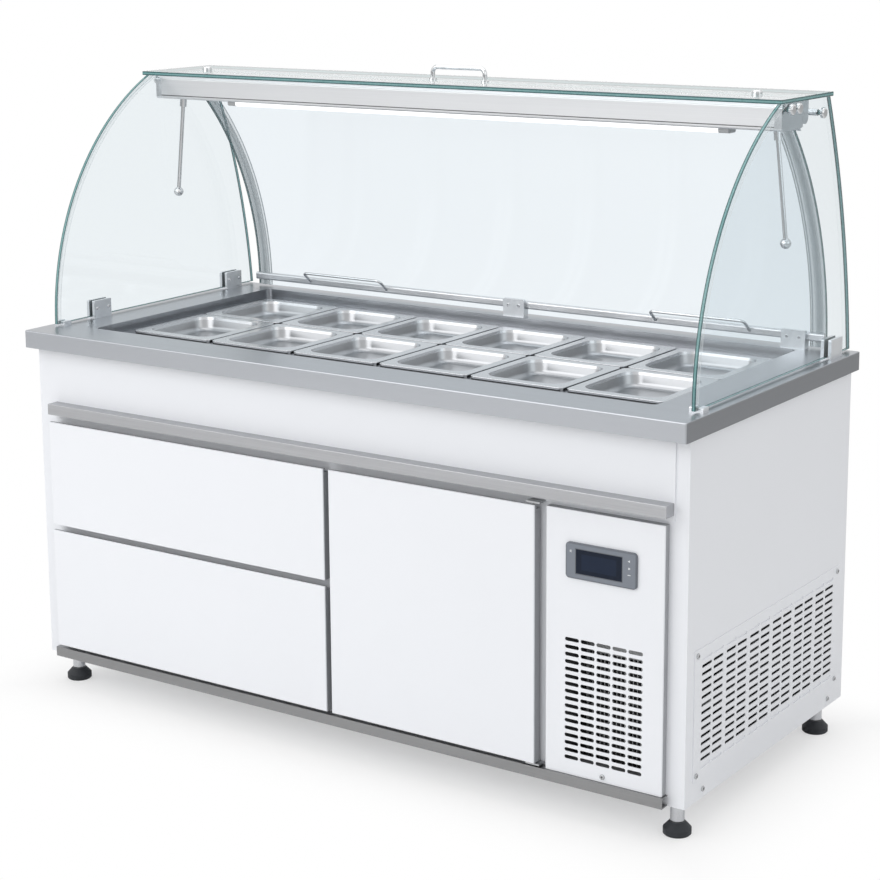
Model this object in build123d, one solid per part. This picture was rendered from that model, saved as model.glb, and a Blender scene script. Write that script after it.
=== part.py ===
from build123d import *
import math
import os

# A free-standing refrigerated salad bar: a white counter cabinet with two drawers, a hinged
# door and a machine bay, a steel worktop with twelve lift-out pans, and a glass canopy.
# Millimetres, +Z up, +X along the front, the front faces -Y, origin on the floor under the middle.

# Worktop
COUNTER_W = 1500.0
COUNTER_D = 700.0
COUNTER_H = 750.0
COUNTER_EDGE = 35.0
TOP_SHEET = 2.0
COUNTER_CORNER_R = 4.0
SHELF_SIDE = 107.0
SHELF_FRONT = 92.0
SHELF_REAR = 50.0
WELL_CORNER = 12.0
DECK_DROP = 20.0
DECK_T = 2.0
LEDGE_W = 14.0
DECK_PLAY = 0.5

# Pans
PAN_COLUMNS = 6
PAN_ROWS = 2
PAN_W = 200.0
PAN_D = 216.0
PAN_DEPTH = 23.0
PAN_RIM = 17.0
PAN_RIM_H = 6.0
PAN_SHEET = 1.2
PAN_TAPER = 6.0
PAN_CORNER = 10.0
PAN_MOUTH_R = 30.0
PAN_FLOOR_R = 12.0
PAN_GAP_X = 6.0
PAN_GAP_Y = 6.0
PAN_BACK_MARGIN = 38.0
PAN_HOLE_PLAY = 2.5

# Cabinet
LEG_H = 66.0
BODY_SIDE_INSET = 8.0
BODY_FRONT_SETBACK = 30.0
BODY_REAR_SETBACK = 20.0
BACK_WALL = 40.0
WELL_WALL = 40.0
WELL_BACK_WALL = 24.0
HEADER_T = 40.0
SKIN = 2.0
BAY_FLOOR = 4.0
BAY_FRAME = 20.0
BAY_TOP_DROP = 150.0
BAY_ROOF = 40.0
DIVIDER_DROP = 150.0
POST_LEFT = 42.0
POST_RIGHT = 26.0
FASCIA_T = 3.0
FASCIA_TUCK = 6.0

# Drawer, door and machine-bay fronts
MARGIN_LEFT = 53.0
MARGIN_RIGHT = 44.0
DOOR_W = 446.0
BAY_W = 232.0
FRONT_GAP = 12.0
BAY_GAP = 18.0
FRONT_BOTTOM = 94.0
LOWER_FRONT_H = 246.0
HEADER_H = 148.5
FRONT_T = 20.0
FRONT_EDGE_R = 2.0
LIP_H = 8.0
LIP_T = 7.0
SEAL_T = 5.7
SEAL_W = 8.0
SEAL_INSET = 9.0
SEAL_PLAY = 0.3
BORDER = 20.0
BAY_PANEL_DEPTH = 16.0
BAY_PANEL_DROP = 7.5
BAY_SHEET = 1.5

# Handle strip and base rail
FINGER_GAP = 16.5
STRIP_H = 21.5
STRIP_SHEET = 2.5
STRIP_INSET_LEFT = 6.0
STRIP_INSET_RIGHT = 1.5
RAIL_H = 20.0
RAIL_DEPTH = 20.0
RAIL_SHEET = 2.0
RAIL_INSET = 33.0

# Drawer boxes and runners
BOX_DEPTH = 500.0
BOX_SHEET = 2.0
BOX_FLOOR_RISE = 28.0
BOX_HEAD_ROOM = 32.0
RUNNER_T = 10.0
SLIDE_T = 8.0
RUNNER_H = 44.0
RUNNER_L = 500.0
RUNNER_FRONT = 10.0
RUNNER_PLAY = 0.3

# Door hinges and shelf
HINGE_EDGE = 6.5
HINGE_SETBACK = 13.0
HINGE_PIN_R = 4.0
HINGE_PLAY = 0.05
HINGE_PIN_L = 18.0
HINGE_PLATE_T = 3.0
HINGE_PLATE_W = 28.0
HINGE_PLATE_GAP = 2.0
SHELF_Z = 330.0
SHELF_SHEET = 2.0
SHELF_LIP = 15.0
SHELF_PLAY = 2.0
SHELF_SETBACK = 50.0
SHELF_DEPTH = 520.0
SHELF_PEG_R = 4.0
SHELF_PEG_L = 12.0
SHELF_SLOTS = 7
SHELF_SLOT_W = 15.0
SHELF_SLOT_MARGIN = 30.0
SHELF_PEG_IN = 30.0

# Controller and front grille
BEZEL_W = 139.0
BEZEL_H = 64.0
BEZEL_T = 5.0
BEZEL_R = 7.0
BEZEL_EDGE_R = 1.6
BEZEL_TOP_DROP = 55.5
CONTROL_BOX_W = 118.0
CONTROL_BOX_H = 48.0
CONTROL_BOX_D = 34.0
CONTROL_PLAY = 1.0
CONTROL_SHIFT = -4.5
SCREEN_W = 90.0
SCREEN_H = 43.0
SCREEN_T = 2.0
SCREEN_SHIFT = -3.5
SCREEN_PLAY = 0.2
GRILLE_COLUMNS = 5
GRILLE_ROWS = 17
GRILLE_PITCH_X = 31.4
GRILLE_PITCH_Z = 13.5
GRILLE_SLOT_L = 28.0
GRILLE_SLOT_H = 7.0
GRILLE_TOP_DROP = 232.0

# Side vent panel
VENT_FRONT = 57.0
VENT_REAR = 50.0
VENT_BOTTOM = 105.0
VENT_H = 236.0
VENT_SHEET = 1.5
VENT_BORDER = 24.0
VENT_ROWS = 15
VENT_PAIRS = 6
VENT_PITCH_Z = 14.0
VENT_SLOT_L = 37.0
VENT_SLOT_H = 5.5
VENT_SLOT_GAP = 6.0
VENT_PAIR_PITCH = 92.0
VENT_SCREW_IN = 10.0
SCREW_HEAD_R = 5.0
SCREW_HEAD_H = 2.5
SCREW_R = 2.2
SCREW_L = 7.0
SCREW_PLAY = 0.2
SKIRT_SCREW_Z = 82.0
SKIRT_SCREW_IN = 66.0

# Canopy glass
GLASS_T = 8.0
GLASS_INSET = 19.5
GLASS_LIFT = 4.0
CANOPY_H = 490.0
CANOPY_FRONT = 8.0
SIDE_FRONT_SETBACK = 67.0
SIDE_REAR_SETBACK = 5.0
SIDE_TOP_MARGIN_FRONT = 10.0
SIDE_TOP_MARGIN_REAR = 6.0
SIDE_FRONT_BULGE = 82.0
SIDE_REAR_BULGE = 20.0
TOP_GLASS_D = 220.0
TOP_GLASS_INSET = 15.0
TOP_GLASS_CORNER_R = 4.0
GLASS_EDGE = 0.8

# Glass clamps on the worktop
CLAMP_L = 50.0
CLAMP_T = 6.5
CLAMP_H = 37.0
CLAMP_PLAY = 0.2
CLAMP_EDGE_R = 2.0
CLAMP_FRONT_SETBACK = 127.0
CLAMP_REAR_SETBACK = 75.0
CORNER_CLIP_L = 20.0
CORNER_CLIP_T = 9.0
CORNER_CLIP_H = 9.0

# Light bar with its end caps, lamp and stays
BAR_SETBACK = 30.0
BAR_DEPTH = 84.0
BAR_H = 50.0
BAR_WALL = 2.5
BAR_EDGE_R = 4.0
BAR_CROWN_R = 10.0
BAR_GROOVE_RISE = 6.0
BAR_GROOVE_H = 2.0
BAR_GROOVE_DEPTH = 1.2
CAP_T = 14.3
CAP_PLAY = 0.2
CAP_LOBE_R = 12.0
LAMP_L = 1150.0
LAMP_W = 30.0
LAMP_H = 9.0
LAMP_SHIFT = 40.0
LAMP_SETBACK = 9.0
STAY_R = 4.0
STAY_BALL_R = 10.0
STAY_DROP = 203.0
STAY_SETBACK = 50.0
STAY_TOP_INSET = 17.5
STAY_COLLAR_R = 7.0
STAY_COLLAR_L = 20.0

# Curved rear glass, hinged behind the light bar
REAR_END_GAP = 32.5
REAR_BOTTOM_SETBACK = 20.0
REAR_BOTTOM_LIFT = 4.0
REAR_TOP_LAP = 13.5
AXIS_SETBACK = 97.0
AXIS_RISE = 18.0
AXIS_PIN_R = 4.0
AXIS_PIN_L = 10.0
AXIS_PLAY = 0.05
TOP_RAIL_R = 8.5
TOP_RAIL_GRIP = 25.0
TOP_RAIL_GAP = 2.0
SLOT_PLAY = 0.2
BOTTOM_RAIL_T = 10.0
BOTTOM_RAIL_H = 16.0
BOTTOM_RAIL_RISE = 12.0
BOTTOM_RAIL_EDGE_R = 4.0
REST_W = 50.0
REST_T = 8.0
REST_H = 36.0
REST_PLAY = 0.3
REST_END_INSET = 60.0
WIRE_R = 3.0
WIRE_L = 206.0
WIRE_INSET = 258.0
WIRE_RISE = 22.0
WIRE_OUT = 26.0
WIRE_BEND = 9.0
REAR_OPEN_ANGLE = 40.0

# Chrome bolts, stop buttons and the handle on the top glass
BOLT_R = 4.0
BOLT_PLAY = 0.3
BOLT_HEAD_R = 10.0
BOLT_HEAD_H = 7.0
TOP_BOLT_INSET = 68.0
TOP_FITTING_SETBACK = 100.0
SIDE_BOLT_SETBACKS = (18.0, 46.0)
SIDE_BOLT_DROP = 12.0
STOP_SETBACK = 180.0
STOP_R = 6.0
STOP_REACH = 40.0
HANDLE_W = 122.0
HANDLE_H = 30.0
HANDLE_R = 4.5
HANDLE_BEND = 11.0
HANDLE_FOOT_R = 8.0
HANDLE_FOOT_H = 3.0

# Legs and feet
LEG_R = 12.5
LEG_INSET_X = 43.0
LEG_FRONT = 72.0
LEG_REAR = 59.0
LEG_BOTTOM = 26.0
STEM_R = 8.0
STEM_PLAY = 0.08
STEM_TOP_GAP = 4.0
PAD_R = 25.0
PAD_NECK_R = 14.0
PAD_H = 14.0
PAD_NECK_H = 24.0
PAD_EDGE = 2.0

# Cooling machine
CONDENSER_W = 180.0
CONDENSER_T = 45.0
CONDENSER_H = 250.0
CONDENSER_BACKSET = 44.0
CONDENSER_FINS = 22
CONDENSER_BORDER = 22.0
SHROUD_D = 40.0
FAN_R = 80.0
FAN_TIP_GAP = 4.0
FAN_T = 22.0
FAN_BLADES = 5
FAN_HUB_R = 20.0
FAN_BLADE_W = 32.0
FAN_BLADE_T = 3.0
FAN_PITCH = 35.0
FAN_Z = 200.0
FAN_SHAFT_R = 4.0
FAN_PLAY = 0.05
FAN_GAP = 3.0
MOTOR_R = 28.0
MOTOR_L = 40.0
MOTOR_ARM = 14.0
COMPRESSOR_R = 78.0
COMPRESSOR_H = 190.0
COMPRESSOR_DOME_R = 40.0
COMPRESSOR_Y = 60.0
COMPRESSOR_BASE = 6.0
COMPRESSOR_FOOT = 190.0
EVAPORATOR_W = 420.0
EVAPORATOR_T = 70.0
EVAPORATOR_H = 190.0
EVAPORATOR_Z = 430.0
EVAPORATOR_IN = 117.0
EVAPORATOR_FINS = 22
FIN_T = 2.0
FIN_DEPTH = 22.0

# Worked-out places
HALF_W = COUNTER_W / 2
HALF_D = COUNTER_D / 2
UNDERSIDE = COUNTER_H - COUNTER_EDGE
PLATE_UNDER = COUNTER_H - TOP_SHEET
WELL_X = HALF_W - SHELF_SIDE
WELL_FRONT = -HALF_D + SHELF_FRONT
WELL_REAR = HALF_D - SHELF_REAR
DECK_TOP = COUNTER_H - DECK_DROP
LEDGE_TOP = DECK_TOP - DECK_T
PAN_PITCH_X = PAN_W + PAN_GAP_X
PAN_PITCH_Y = PAN_D + PAN_GAP_Y
PAN_LAST_Y = WELL_REAR - PAN_BACK_MARGIN - PAN_D / 2
BODY_X = HALF_W - BODY_SIDE_INSET
BODY_FRONT = -HALF_D + BODY_FRONT_SETBACK
BODY_REAR = HALF_D - BODY_REAR_SETBACK
CAVITY_REAR = BODY_REAR - BACK_WALL
FRONT_TOP = UNDERSIDE - HEADER_H
DRAWER_LEFT = -HALF_W + MARGIN_LEFT
BAY_RIGHT = HALF_W - MARGIN_RIGHT
BAY_LEFT = BAY_RIGHT - BAY_W
DOOR_RIGHT = BAY_LEFT - BAY_GAP
DOOR_LEFT = DOOR_RIGHT - DOOR_W
DRAWER_RIGHT = DOOR_LEFT - FRONT_GAP
DRAWER_CAVITY = (DRAWER_LEFT + BORDER, DRAWER_RIGHT - BORDER)
DOOR_CAVITY = (DOOR_LEFT + BORDER, DOOR_RIGHT - BORDER)
CAVITY_FLOOR = FRONT_BOTTOM + BORDER
BAY_INNER_LEFT = BAY_LEFT + BAY_FRAME / 2
BAY_TOP = PLATE_UNDER - BAY_TOP_DROP
FRONT_BACK = BODY_FRONT - SEAL_T - SEAL_PLAY
FRONT_FACE = FRONT_BACK - FRONT_T
BAY_FACE = BODY_FRONT - BAY_PANEL_DEPTH
BAY_BOTTOM = FRONT_BOTTOM - BAY_PANEL_DROP
BAY_MID = (BAY_LEFT + BAY_RIGHT) / 2
CONTROL_X = BAY_MID + CONTROL_SHIFT
HINGE_X = DOOR_RIGHT - HINGE_EDGE
HINGE_Y = FRONT_FACE + HINGE_SETBACK
STRIP_BOTTOM = FRONT_TOP + FINGER_GAP
STRIP_TOP = STRIP_BOTTOM + STRIP_H
GLASS_OUT = HALF_W - GLASS_INSET
GLASS_IN = GLASS_OUT - GLASS_T
GLASS_BOTTOM = COUNTER_H + GLASS_LIFT
GLASS_FRONT = -HALF_D + SIDE_FRONT_SETBACK
GLASS_REAR = HALF_D - SIDE_REAR_SETBACK
CANOPY_TOP = COUNTER_H + CANOPY_H
CANOPY_REAR = CANOPY_FRONT + TOP_GLASS_D
TOP_FITTING_Y = CANOPY_FRONT + TOP_FITTING_SETBACK
STOP_Y = CANOPY_FRONT + STOP_SETBACK
BAR_FRONT = CANOPY_FRONT + BAR_SETBACK
BAR_TOP = CANOPY_TOP
BAR_BOTTOM = BAR_TOP - BAR_H
BAR_REAR = BAR_FRONT + BAR_DEPTH
BAR_X = GLASS_IN - CAP_PLAY - CAP_T
TOP_BOLT_X = BAR_X - TOP_BOLT_INSET
AXIS_Y = BAR_FRONT + AXIS_SETBACK
AXIS_Z = BAR_BOTTOM + AXIS_RISE
REAR_BOTTOM_Y = HALF_D - REAR_BOTTOM_SETBACK
REAR_BOTTOM_Z = COUNTER_H + REAR_BOTTOM_LIFT
REAR_HALF_W = GLASS_IN - REAR_END_GAP
WIRE_X = REAR_HALF_W - WIRE_INSET
REAR_REACH = REAR_BOTTOM_Y - AXIS_Y
REAR_RISE = AXIS_Z - REAR_BOTTOM_Z
# The rear glass stands upright at its bottom edge, and at its top edge it points straight at the pins.
REAR_RADIUS = (REAR_REACH ** 2 + REAR_RISE ** 2 - TOP_RAIL_GRIP ** 2) / (2 * REAR_REACH)
REAR_GRIP_ANGLE = math.degrees(math.atan2(REAR_RISE, REAR_RADIUS - REAR_REACH)
                               - math.atan2(TOP_RAIL_GRIP, REAR_RADIUS))
REAR_TOP_ANGLE = REAR_GRIP_ANGLE + math.degrees(REAR_TOP_LAP / REAR_RADIUS)
REAR_CENTRE_Y = REAR_BOTTOM_Y - REAR_RADIUS
SIDE_BOLT_Z = CANOPY_TOP - SIDE_BOLT_DROP
BOTTOM_RAIL_Z = REAR_BOTTOM_Z + BOTTOM_RAIL_RISE
BOTTOM_RAIL_FRONT = REAR_BOTTOM_Y - GLASS_T / 2 - BOTTOM_RAIL_T


def span(x0, x1, y0, y1, z0, z1):
    """A box between two corners."""
    middle = Pos((x0 + x1) / 2, (y0 + y1) / 2, (z0 + z1) / 2)
    return middle * Box(x1 - x0, y1 - y0, z1 - z0)


def rod_x(x0, x1, y, z, radius):
    """A round bar along X."""
    return Pos((x0 + x1) / 2, y, z) * Rot(0, 90, 0) * Cylinder(radius, abs(x1 - x0))


def rod_y(x, y0, y1, z, radius):
    """A round bar along Y."""
    return Pos(x, (y0 + y1) / 2, z) * Rot(90, 0, 0) * Cylinder(radius, abs(y1 - y0))


def rod_z(x, y, z0, z1, radius):
    """A round bar along Z."""
    return Pos(x, y, (z0 + z1) / 2) * Cylinder(radius, abs(z1 - z0))


def leaning_rod(foot, run, length, radius):
    """A round bar from a point along any direction."""
    return Plane(foot, z_dir=run) * Cylinder(radius, length, align=(Align.CENTER, Align.CENTER, Align.MIN))


def prism_x(sketch, x0, x1):
    """A flat outline, drawn as (Y, Z), carried along X."""
    return extrude(Plane.YZ.offset(x0) * sketch, x1 - x0)


def slab_z(sketch, x, y, z0, z1):
    """A flat outline, drawn as (X, Y), carried along Z."""
    return extrude(Pos(x, y, z0) * sketch, z1 - z0)


def facing(sketch, x, z, y0, y1):
    """A flat outline, drawn as (X, Z), carried along Y from y0 to a larger y1."""
    return extrude(Plane.XZ.offset(-y1) * (Pos(x, z) * sketch), y1 - y0)


def across(side, near, far):
    """Low and high X of a span given as distances from the middle, on one side."""
    return (near, far) if side > 0 else (-far, -near)


def rounded_edges(solid, axis, radius):
    """The solid with its edges along one axis rounded."""
    return fillet(solid.edges().filter_by(axis), radius)


def cabinet_body():
    """Insulated carcass: drawer and door cavities below, an open well above, a machine bay at the right."""
    body = span(-BODY_X, BODY_X, BODY_FRONT, BODY_REAR, LEG_H, PLATE_UNDER)
    for left, right in (DRAWER_CAVITY, DOOR_CAVITY):
        body -= span(left, right, BODY_FRONT + HEADER_T, CAVITY_REAR, CAVITY_FLOOR, PLATE_UNDER)
    openings = [(*DRAWER_CAVITY, z0, z1) for _, z0, z1 in drawer_spans()]
    openings.append((*DOOR_CAVITY, FRONT_BOTTOM, FRONT_TOP))
    for left, right, z0, z1 in openings:
        body -= span(left, right, BODY_FRONT, BODY_FRONT + HEADER_T, z0 + BORDER, z1 - LIP_H - BORDER)
    body -= span(DRAWER_CAVITY[0], BODY_X - WELL_WALL, BODY_FRONT + HEADER_T, BODY_REAR - WELL_BACK_WALL,
                 BAY_TOP + BAY_ROOF, PLATE_UNDER)
    body -= span(DRAWER_CAVITY[1], DOOR_CAVITY[0], BODY_FRONT + HEADER_T, CAVITY_REAR,
                 PLATE_UNDER - DIVIDER_DROP, PLATE_UNDER)
    body -= span(BAY_INNER_LEFT, BODY_X - SKIN, BODY_FRONT + BAY_FRAME, BODY_REAR - SKIN,
                 LEG_H + BAY_FLOOR, BAY_TOP)
    body -= span(BAY_INNER_LEFT, BAY_RIGHT - BAY_FRAME, BODY_FRONT, BODY_FRONT + BAY_FRAME,
                 BAY_BOTTOM + BAY_FRAME, FRONT_TOP - BAY_FRAME)
    vent_y0 = -HALF_D + VENT_FRONT + VENT_BORDER
    vent_y1 = HALF_D - VENT_REAR - VENT_BORDER
    body -= span(BODY_X - SKIN, BODY_X, vent_y0, vent_y1,
                 VENT_BOTTOM + VENT_BORDER, VENT_BOTTOM + VENT_H - VENT_BORDER)
    for x, y, z in vent_screw_places() + skirt_screw_places():
        body -= rod_x(x - SCREW_L, x, y, z, SCREW_R + SCREW_PLAY)
    body -= rod_y(BAY_MID, BODY_FRONT, BODY_FRONT + SCREW_L, front_screw_z(), SCREW_R + SCREW_PLAY)
    for x, reach in ((DOOR_CAVITY[0], SHELF_PEG_L), (DOOR_CAVITY[1], -SHELF_PEG_L)):
        for y in shelf_peg_places():
            body += rod_x(x, x + reach, y, SHELF_Z - SHELF_LIP - SHELF_PEG_R, SHELF_PEG_R)
    return body


def front_screw_z():
    """Height of the screw at the foot of the machine-bay panel."""
    return BAY_BOTTOM + BAY_FRAME / 2


def vent_screw_places():
    """Screws in the corners of the slotted panel on the right side."""
    y0 = -HALF_D + VENT_FRONT
    y1 = HALF_D - VENT_REAR
    return [(BODY_X, y, z)
            for y in (y0 + VENT_SCREW_IN, y1 - VENT_SCREW_IN)
            for z in (VENT_BOTTOM + VENT_SCREW_IN, VENT_BOTTOM + VENT_H - VENT_SCREW_IN)]


def skirt_screw_places():
    """Two screws on the right side, below the slotted panel."""
    return [(BODY_X, y, SKIRT_SCREW_Z) for y in (BODY_FRONT + SKIRT_SCREW_IN, BODY_REAR - SKIRT_SCREW_IN)]


def shelf_peg_places():
    """Depths of the pegs that carry the shelf."""
    front = BODY_FRONT + SHELF_SETBACK
    return (front + SHELF_PEG_IN, front + SHELF_DEPTH - SHELF_PEG_IN)


def front_top_panel():
    """White fascia between the two corner posts, above the fronts."""
    return span(-BODY_X + POST_LEFT, BODY_X - POST_RIGHT, BODY_FRONT - FASCIA_T, BODY_FRONT,
                FRONT_TOP + FASCIA_TUCK, UNDERSIDE)


def handle_strip():
    """Steel strip over the finger gap: a face, a top flange and two end returns."""
    x0 = -BODY_X + POST_LEFT + STRIP_INSET_LEFT
    x1 = BODY_X - POST_RIGHT - STRIP_INSET_RIGHT
    back = BODY_FRONT - FASCIA_T
    strip = span(x0, x1, -HALF_D, back, STRIP_BOTTOM, STRIP_TOP)
    strip -= span(x0 + STRIP_SHEET, x1 - STRIP_SHEET, -HALF_D + STRIP_SHEET, back,
                  STRIP_BOTTOM, STRIP_TOP - STRIP_SHEET)
    outer = strip.edges().filter_by(Axis.X).group_by(Axis.Y)[0].group_by(Axis.Z)[-1]
    return fillet(outer, STRIP_SHEET / 2)


def base_rail():
    """Steel channel along the foot of the front."""
    x1 = HALF_W - RAIL_INSET - BODY_SIDE_INSET
    front = BODY_FRONT - RAIL_DEPTH
    rail = span(-x1, x1, front, BODY_FRONT, LEG_H, LEG_H + RAIL_H)
    rail -= span(-x1, x1, front + RAIL_SHEET, BODY_FRONT, LEG_H + RAIL_SHEET, LEG_H + RAIL_H - RAIL_SHEET)
    return rail


def machine_panel():
    """Folded front of the machine bay, with the controller's cut-out, the grille and a screw hole."""
    panel = span(BAY_LEFT, BAY_RIGHT, BAY_FACE, BODY_FRONT, BAY_BOTTOM, FRONT_TOP)
    panel = rounded_edges(panel, Axis.Z, FRONT_EDGE_R)
    panel -= span(BAY_LEFT + BAY_SHEET, BAY_RIGHT - BAY_SHEET, BAY_FACE + BAY_SHEET, BODY_FRONT,
                  BAY_BOTTOM + BAY_SHEET, FRONT_TOP - BAY_SHEET)
    cut = Rectangle(CONTROL_BOX_W + 2 * CONTROL_PLAY, CONTROL_BOX_H + 2 * CONTROL_PLAY)
    panel -= facing(cut, CONTROL_X, bezel_z(), BAY_FACE, BAY_FACE + BAY_SHEET)
    slots = Sketch() + [
        Pos((i - (GRILLE_COLUMNS - 1) / 2) * GRILLE_PITCH_X, -j * GRILLE_PITCH_Z)
        * SlotOverall(GRILLE_SLOT_L, GRILLE_SLOT_H)
        for i in range(GRILLE_COLUMNS) for j in range(GRILLE_ROWS)]
    panel -= facing(slots, BAY_MID, FRONT_TOP - GRILLE_TOP_DROP, BAY_FACE, BAY_FACE + BAY_SHEET)
    panel -= rod_y(BAY_MID, BAY_FACE, BAY_FACE + BAY_SHEET, front_screw_z(), SCREW_R + SCREW_PLAY)
    return panel


def bezel_z():
    """Height of the controller's middle."""
    return FRONT_TOP - BEZEL_TOP_DROP - BEZEL_H / 2


def controller_bezel():
    """Grey controller frame with a window pocket, and its box behind the panel."""
    plate = facing(RectangleRounded(BEZEL_W, BEZEL_H, BEZEL_R), CONTROL_X, bezel_z(),
                   BAY_FACE - BEZEL_T, BAY_FACE)
    plate = fillet(plate.faces().sort_by(Axis.Y)[0].edges(), BEZEL_EDGE_R)
    plate -= facing(Rectangle(SCREEN_W, SCREEN_H), CONTROL_X + SCREEN_SHIFT, bezel_z(),
                    BAY_FACE - BEZEL_T, BAY_FACE - BEZEL_T + SCREEN_T)
    box = facing(Rectangle(CONTROL_BOX_W, CONTROL_BOX_H), CONTROL_X, bezel_z(),
                 BAY_FACE, BAY_FACE + CONTROL_BOX_D)
    return plate + box


def controller_display():
    """Dark window that fills the bezel's pocket."""
    return facing(Rectangle(SCREEN_W - 2 * SCREEN_PLAY, SCREEN_H - 2 * SCREEN_PLAY),
                  CONTROL_X + SCREEN_SHIFT, bezel_z(), BAY_FACE - BEZEL_T, BAY_FACE - BEZEL_T + SCREEN_T)


def side_vent_panel():
    """Removable slotted panel on the right side."""
    y0 = -HALF_D + VENT_FRONT
    y1 = HALF_D - VENT_REAR
    panel = span(BODY_X, BODY_X + VENT_SHEET, y0, y1, VENT_BOTTOM, VENT_BOTTOM + VENT_H)
    step = VENT_SLOT_L + VENT_SLOT_GAP
    slots = Sketch() + [
        Pos((i - (VENT_PAIRS - 1) / 2) * VENT_PAIR_PITCH + (k - 0.5) * step,
            (j - (VENT_ROWS - 1) / 2) * VENT_PITCH_Z) * SlotOverall(VENT_SLOT_L, VENT_SLOT_H)
        for i in range(VENT_PAIRS) for k in (0, 1) for j in range(VENT_ROWS)]
    middle = Pos((y0 + y1) / 2, VENT_BOTTOM + VENT_H / 2)
    panel -= prism_x(middle * slots, BODY_X, BODY_X + VENT_SHEET)
    for x, y, z in vent_screw_places():
        panel -= rod_x(x, x + VENT_SHEET, y, z, SCREW_R + SCREW_PLAY)
    return panel


def panel_screws():
    """Round-headed screws of the side panel, its skirt and the machine-bay panel."""
    screws = []
    seats = [(x + VENT_SHEET, y, z) for x, y, z in vent_screw_places()] + skirt_screw_places()
    for seat, y, z in seats:
        screw = rod_x(seat, seat + SCREW_HEAD_H, y, z, SCREW_HEAD_R)
        screw = fillet(screw.faces().sort_by(Axis.X)[-1].edges(), SCREW_HEAD_H / 2)
        screws.append(screw + rod_x(seat - SCREW_L + VENT_SHEET, seat, y, z, SCREW_R))
    head = rod_y(BAY_MID, BAY_FACE - SCREW_HEAD_H, BAY_FACE, front_screw_z(), SCREW_HEAD_R)
    head = fillet(head.faces().sort_by(Axis.Y)[0].edges(), SCREW_HEAD_H / 2)
    long_shank = rod_y(BAY_MID, BAY_FACE, BODY_FRONT + SCREW_L - VENT_SHEET, front_screw_z(), SCREW_R)
    return screws + [head + long_shank]


def countertop():
    """Folded steel worktop: a plate with turned-down edges, a well opening and a ledge round it."""
    top = span(-HALF_W, HALF_W, -HALF_D, HALF_D, UNDERSIDE, COUNTER_H)
    top = rounded_edges(top, Axis.Z, COUNTER_CORNER_R)
    top = fillet(top.faces().sort_by(Axis.Z)[-1].edges(), TOP_SHEET)
    top -= span(-HALF_W + TOP_SHEET, HALF_W - TOP_SHEET, -HALF_D + TOP_SHEET, HALF_D - TOP_SHEET,
                UNDERSIDE, PLATE_UNDER)
    mid_y = (WELL_FRONT + WELL_REAR) / 2
    wide = 2 * WELL_X
    deep = WELL_REAR - WELL_FRONT
    sleeve = RectangleRounded(wide + 2 * TOP_SHEET, deep + 2 * TOP_SHEET, WELL_CORNER + TOP_SHEET)
    top += slab_z(sleeve, 0, mid_y, LEDGE_TOP - TOP_SHEET, PLATE_UNDER)
    top -= slab_z(RectangleRounded(wide, deep, WELL_CORNER), 0, mid_y, LEDGE_TOP, COUNTER_H)
    inner = RectangleRounded(wide - 2 * LEDGE_W, deep - 2 * LEDGE_W, WELL_CORNER)
    return top - slab_z(inner, 0, mid_y, LEDGE_TOP - TOP_SHEET, LEDGE_TOP)


def pan_places():
    """Middle of every pan, front row first, each row from the left."""
    first_x = -(PAN_COLUMNS - 1) / 2 * PAN_PITCH_X
    rows = [PAN_LAST_Y - (PAN_ROWS - 1 - row) * PAN_PITCH_Y for row in range(PAN_ROWS)]
    return [[(first_x + column * PAN_PITCH_X, y) for column in range(PAN_COLUMNS)] for y in rows]


def pan_deck():
    """Sheet on the worktop's ledge with one opening under every pan."""
    mid_y = (WELL_FRONT + WELL_REAR) / 2
    outline = RectangleRounded(2 * (WELL_X - DECK_PLAY), WELL_REAR - WELL_FRONT - 2 * DECK_PLAY,
                               WELL_CORNER - DECK_PLAY)
    deck = slab_z(outline, 0, mid_y, LEDGE_TOP, DECK_TOP)
    hole = RectangleRounded(PAN_W - 2 * PAN_RIM + 2 * PAN_HOLE_PLAY,
                            PAN_D - 2 * PAN_RIM + 2 * PAN_HOLE_PLAY, PAN_MOUTH_R + PAN_HOLE_PLAY)
    for row in pan_places():
        for x, y in row:
            deck -= slab_z(hole, x, y, LEDGE_TOP, DECK_TOP)
    return deck


def pan_tub(shrink, top, bottom):
    """Tapered tub with rounded corners and a rounded floor edge."""
    mouth_in = PAN_RIM + shrink
    mouth = RectangleRounded(PAN_W - 2 * mouth_in, PAN_D - 2 * mouth_in, PAN_MOUTH_R)
    floor_in = mouth_in + PAN_TAPER
    floor = RectangleRounded(PAN_W - 2 * floor_in, PAN_D - 2 * floor_in, PAN_MOUTH_R)
    tub = loft([Pos(0, 0, top) * mouth, Pos(0, 0, bottom) * floor])
    return fillet(tub.faces().sort_by(Axis.Z)[0].edges(), PAN_FLOOR_R)


def pan():
    """One pan about its own middle: a thin tub hung by a turned-down rim."""
    rim_top = DECK_TOP + PAN_RIM_H
    rim = slab_z(RectangleRounded(PAN_W, PAN_D, PAN_CORNER), 0, 0, DECK_TOP, rim_top)
    rim = fillet(rim.faces().sort_by(Axis.Z)[-1].edges(), PAN_SHEET)
    under = RectangleRounded(PAN_W - 2 * PAN_SHEET, PAN_D - 2 * PAN_SHEET, PAN_CORNER - PAN_SHEET)
    rim -= slab_z(under, 0, 0, DECK_TOP, rim_top - PAN_SHEET)
    shell = rim + pan_tub(0, rim_top, DECK_TOP - PAN_DEPTH)
    return shell - pan_tub(PAN_SHEET, rim_top, DECK_TOP - PAN_DEPTH + PAN_SHEET)


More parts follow.
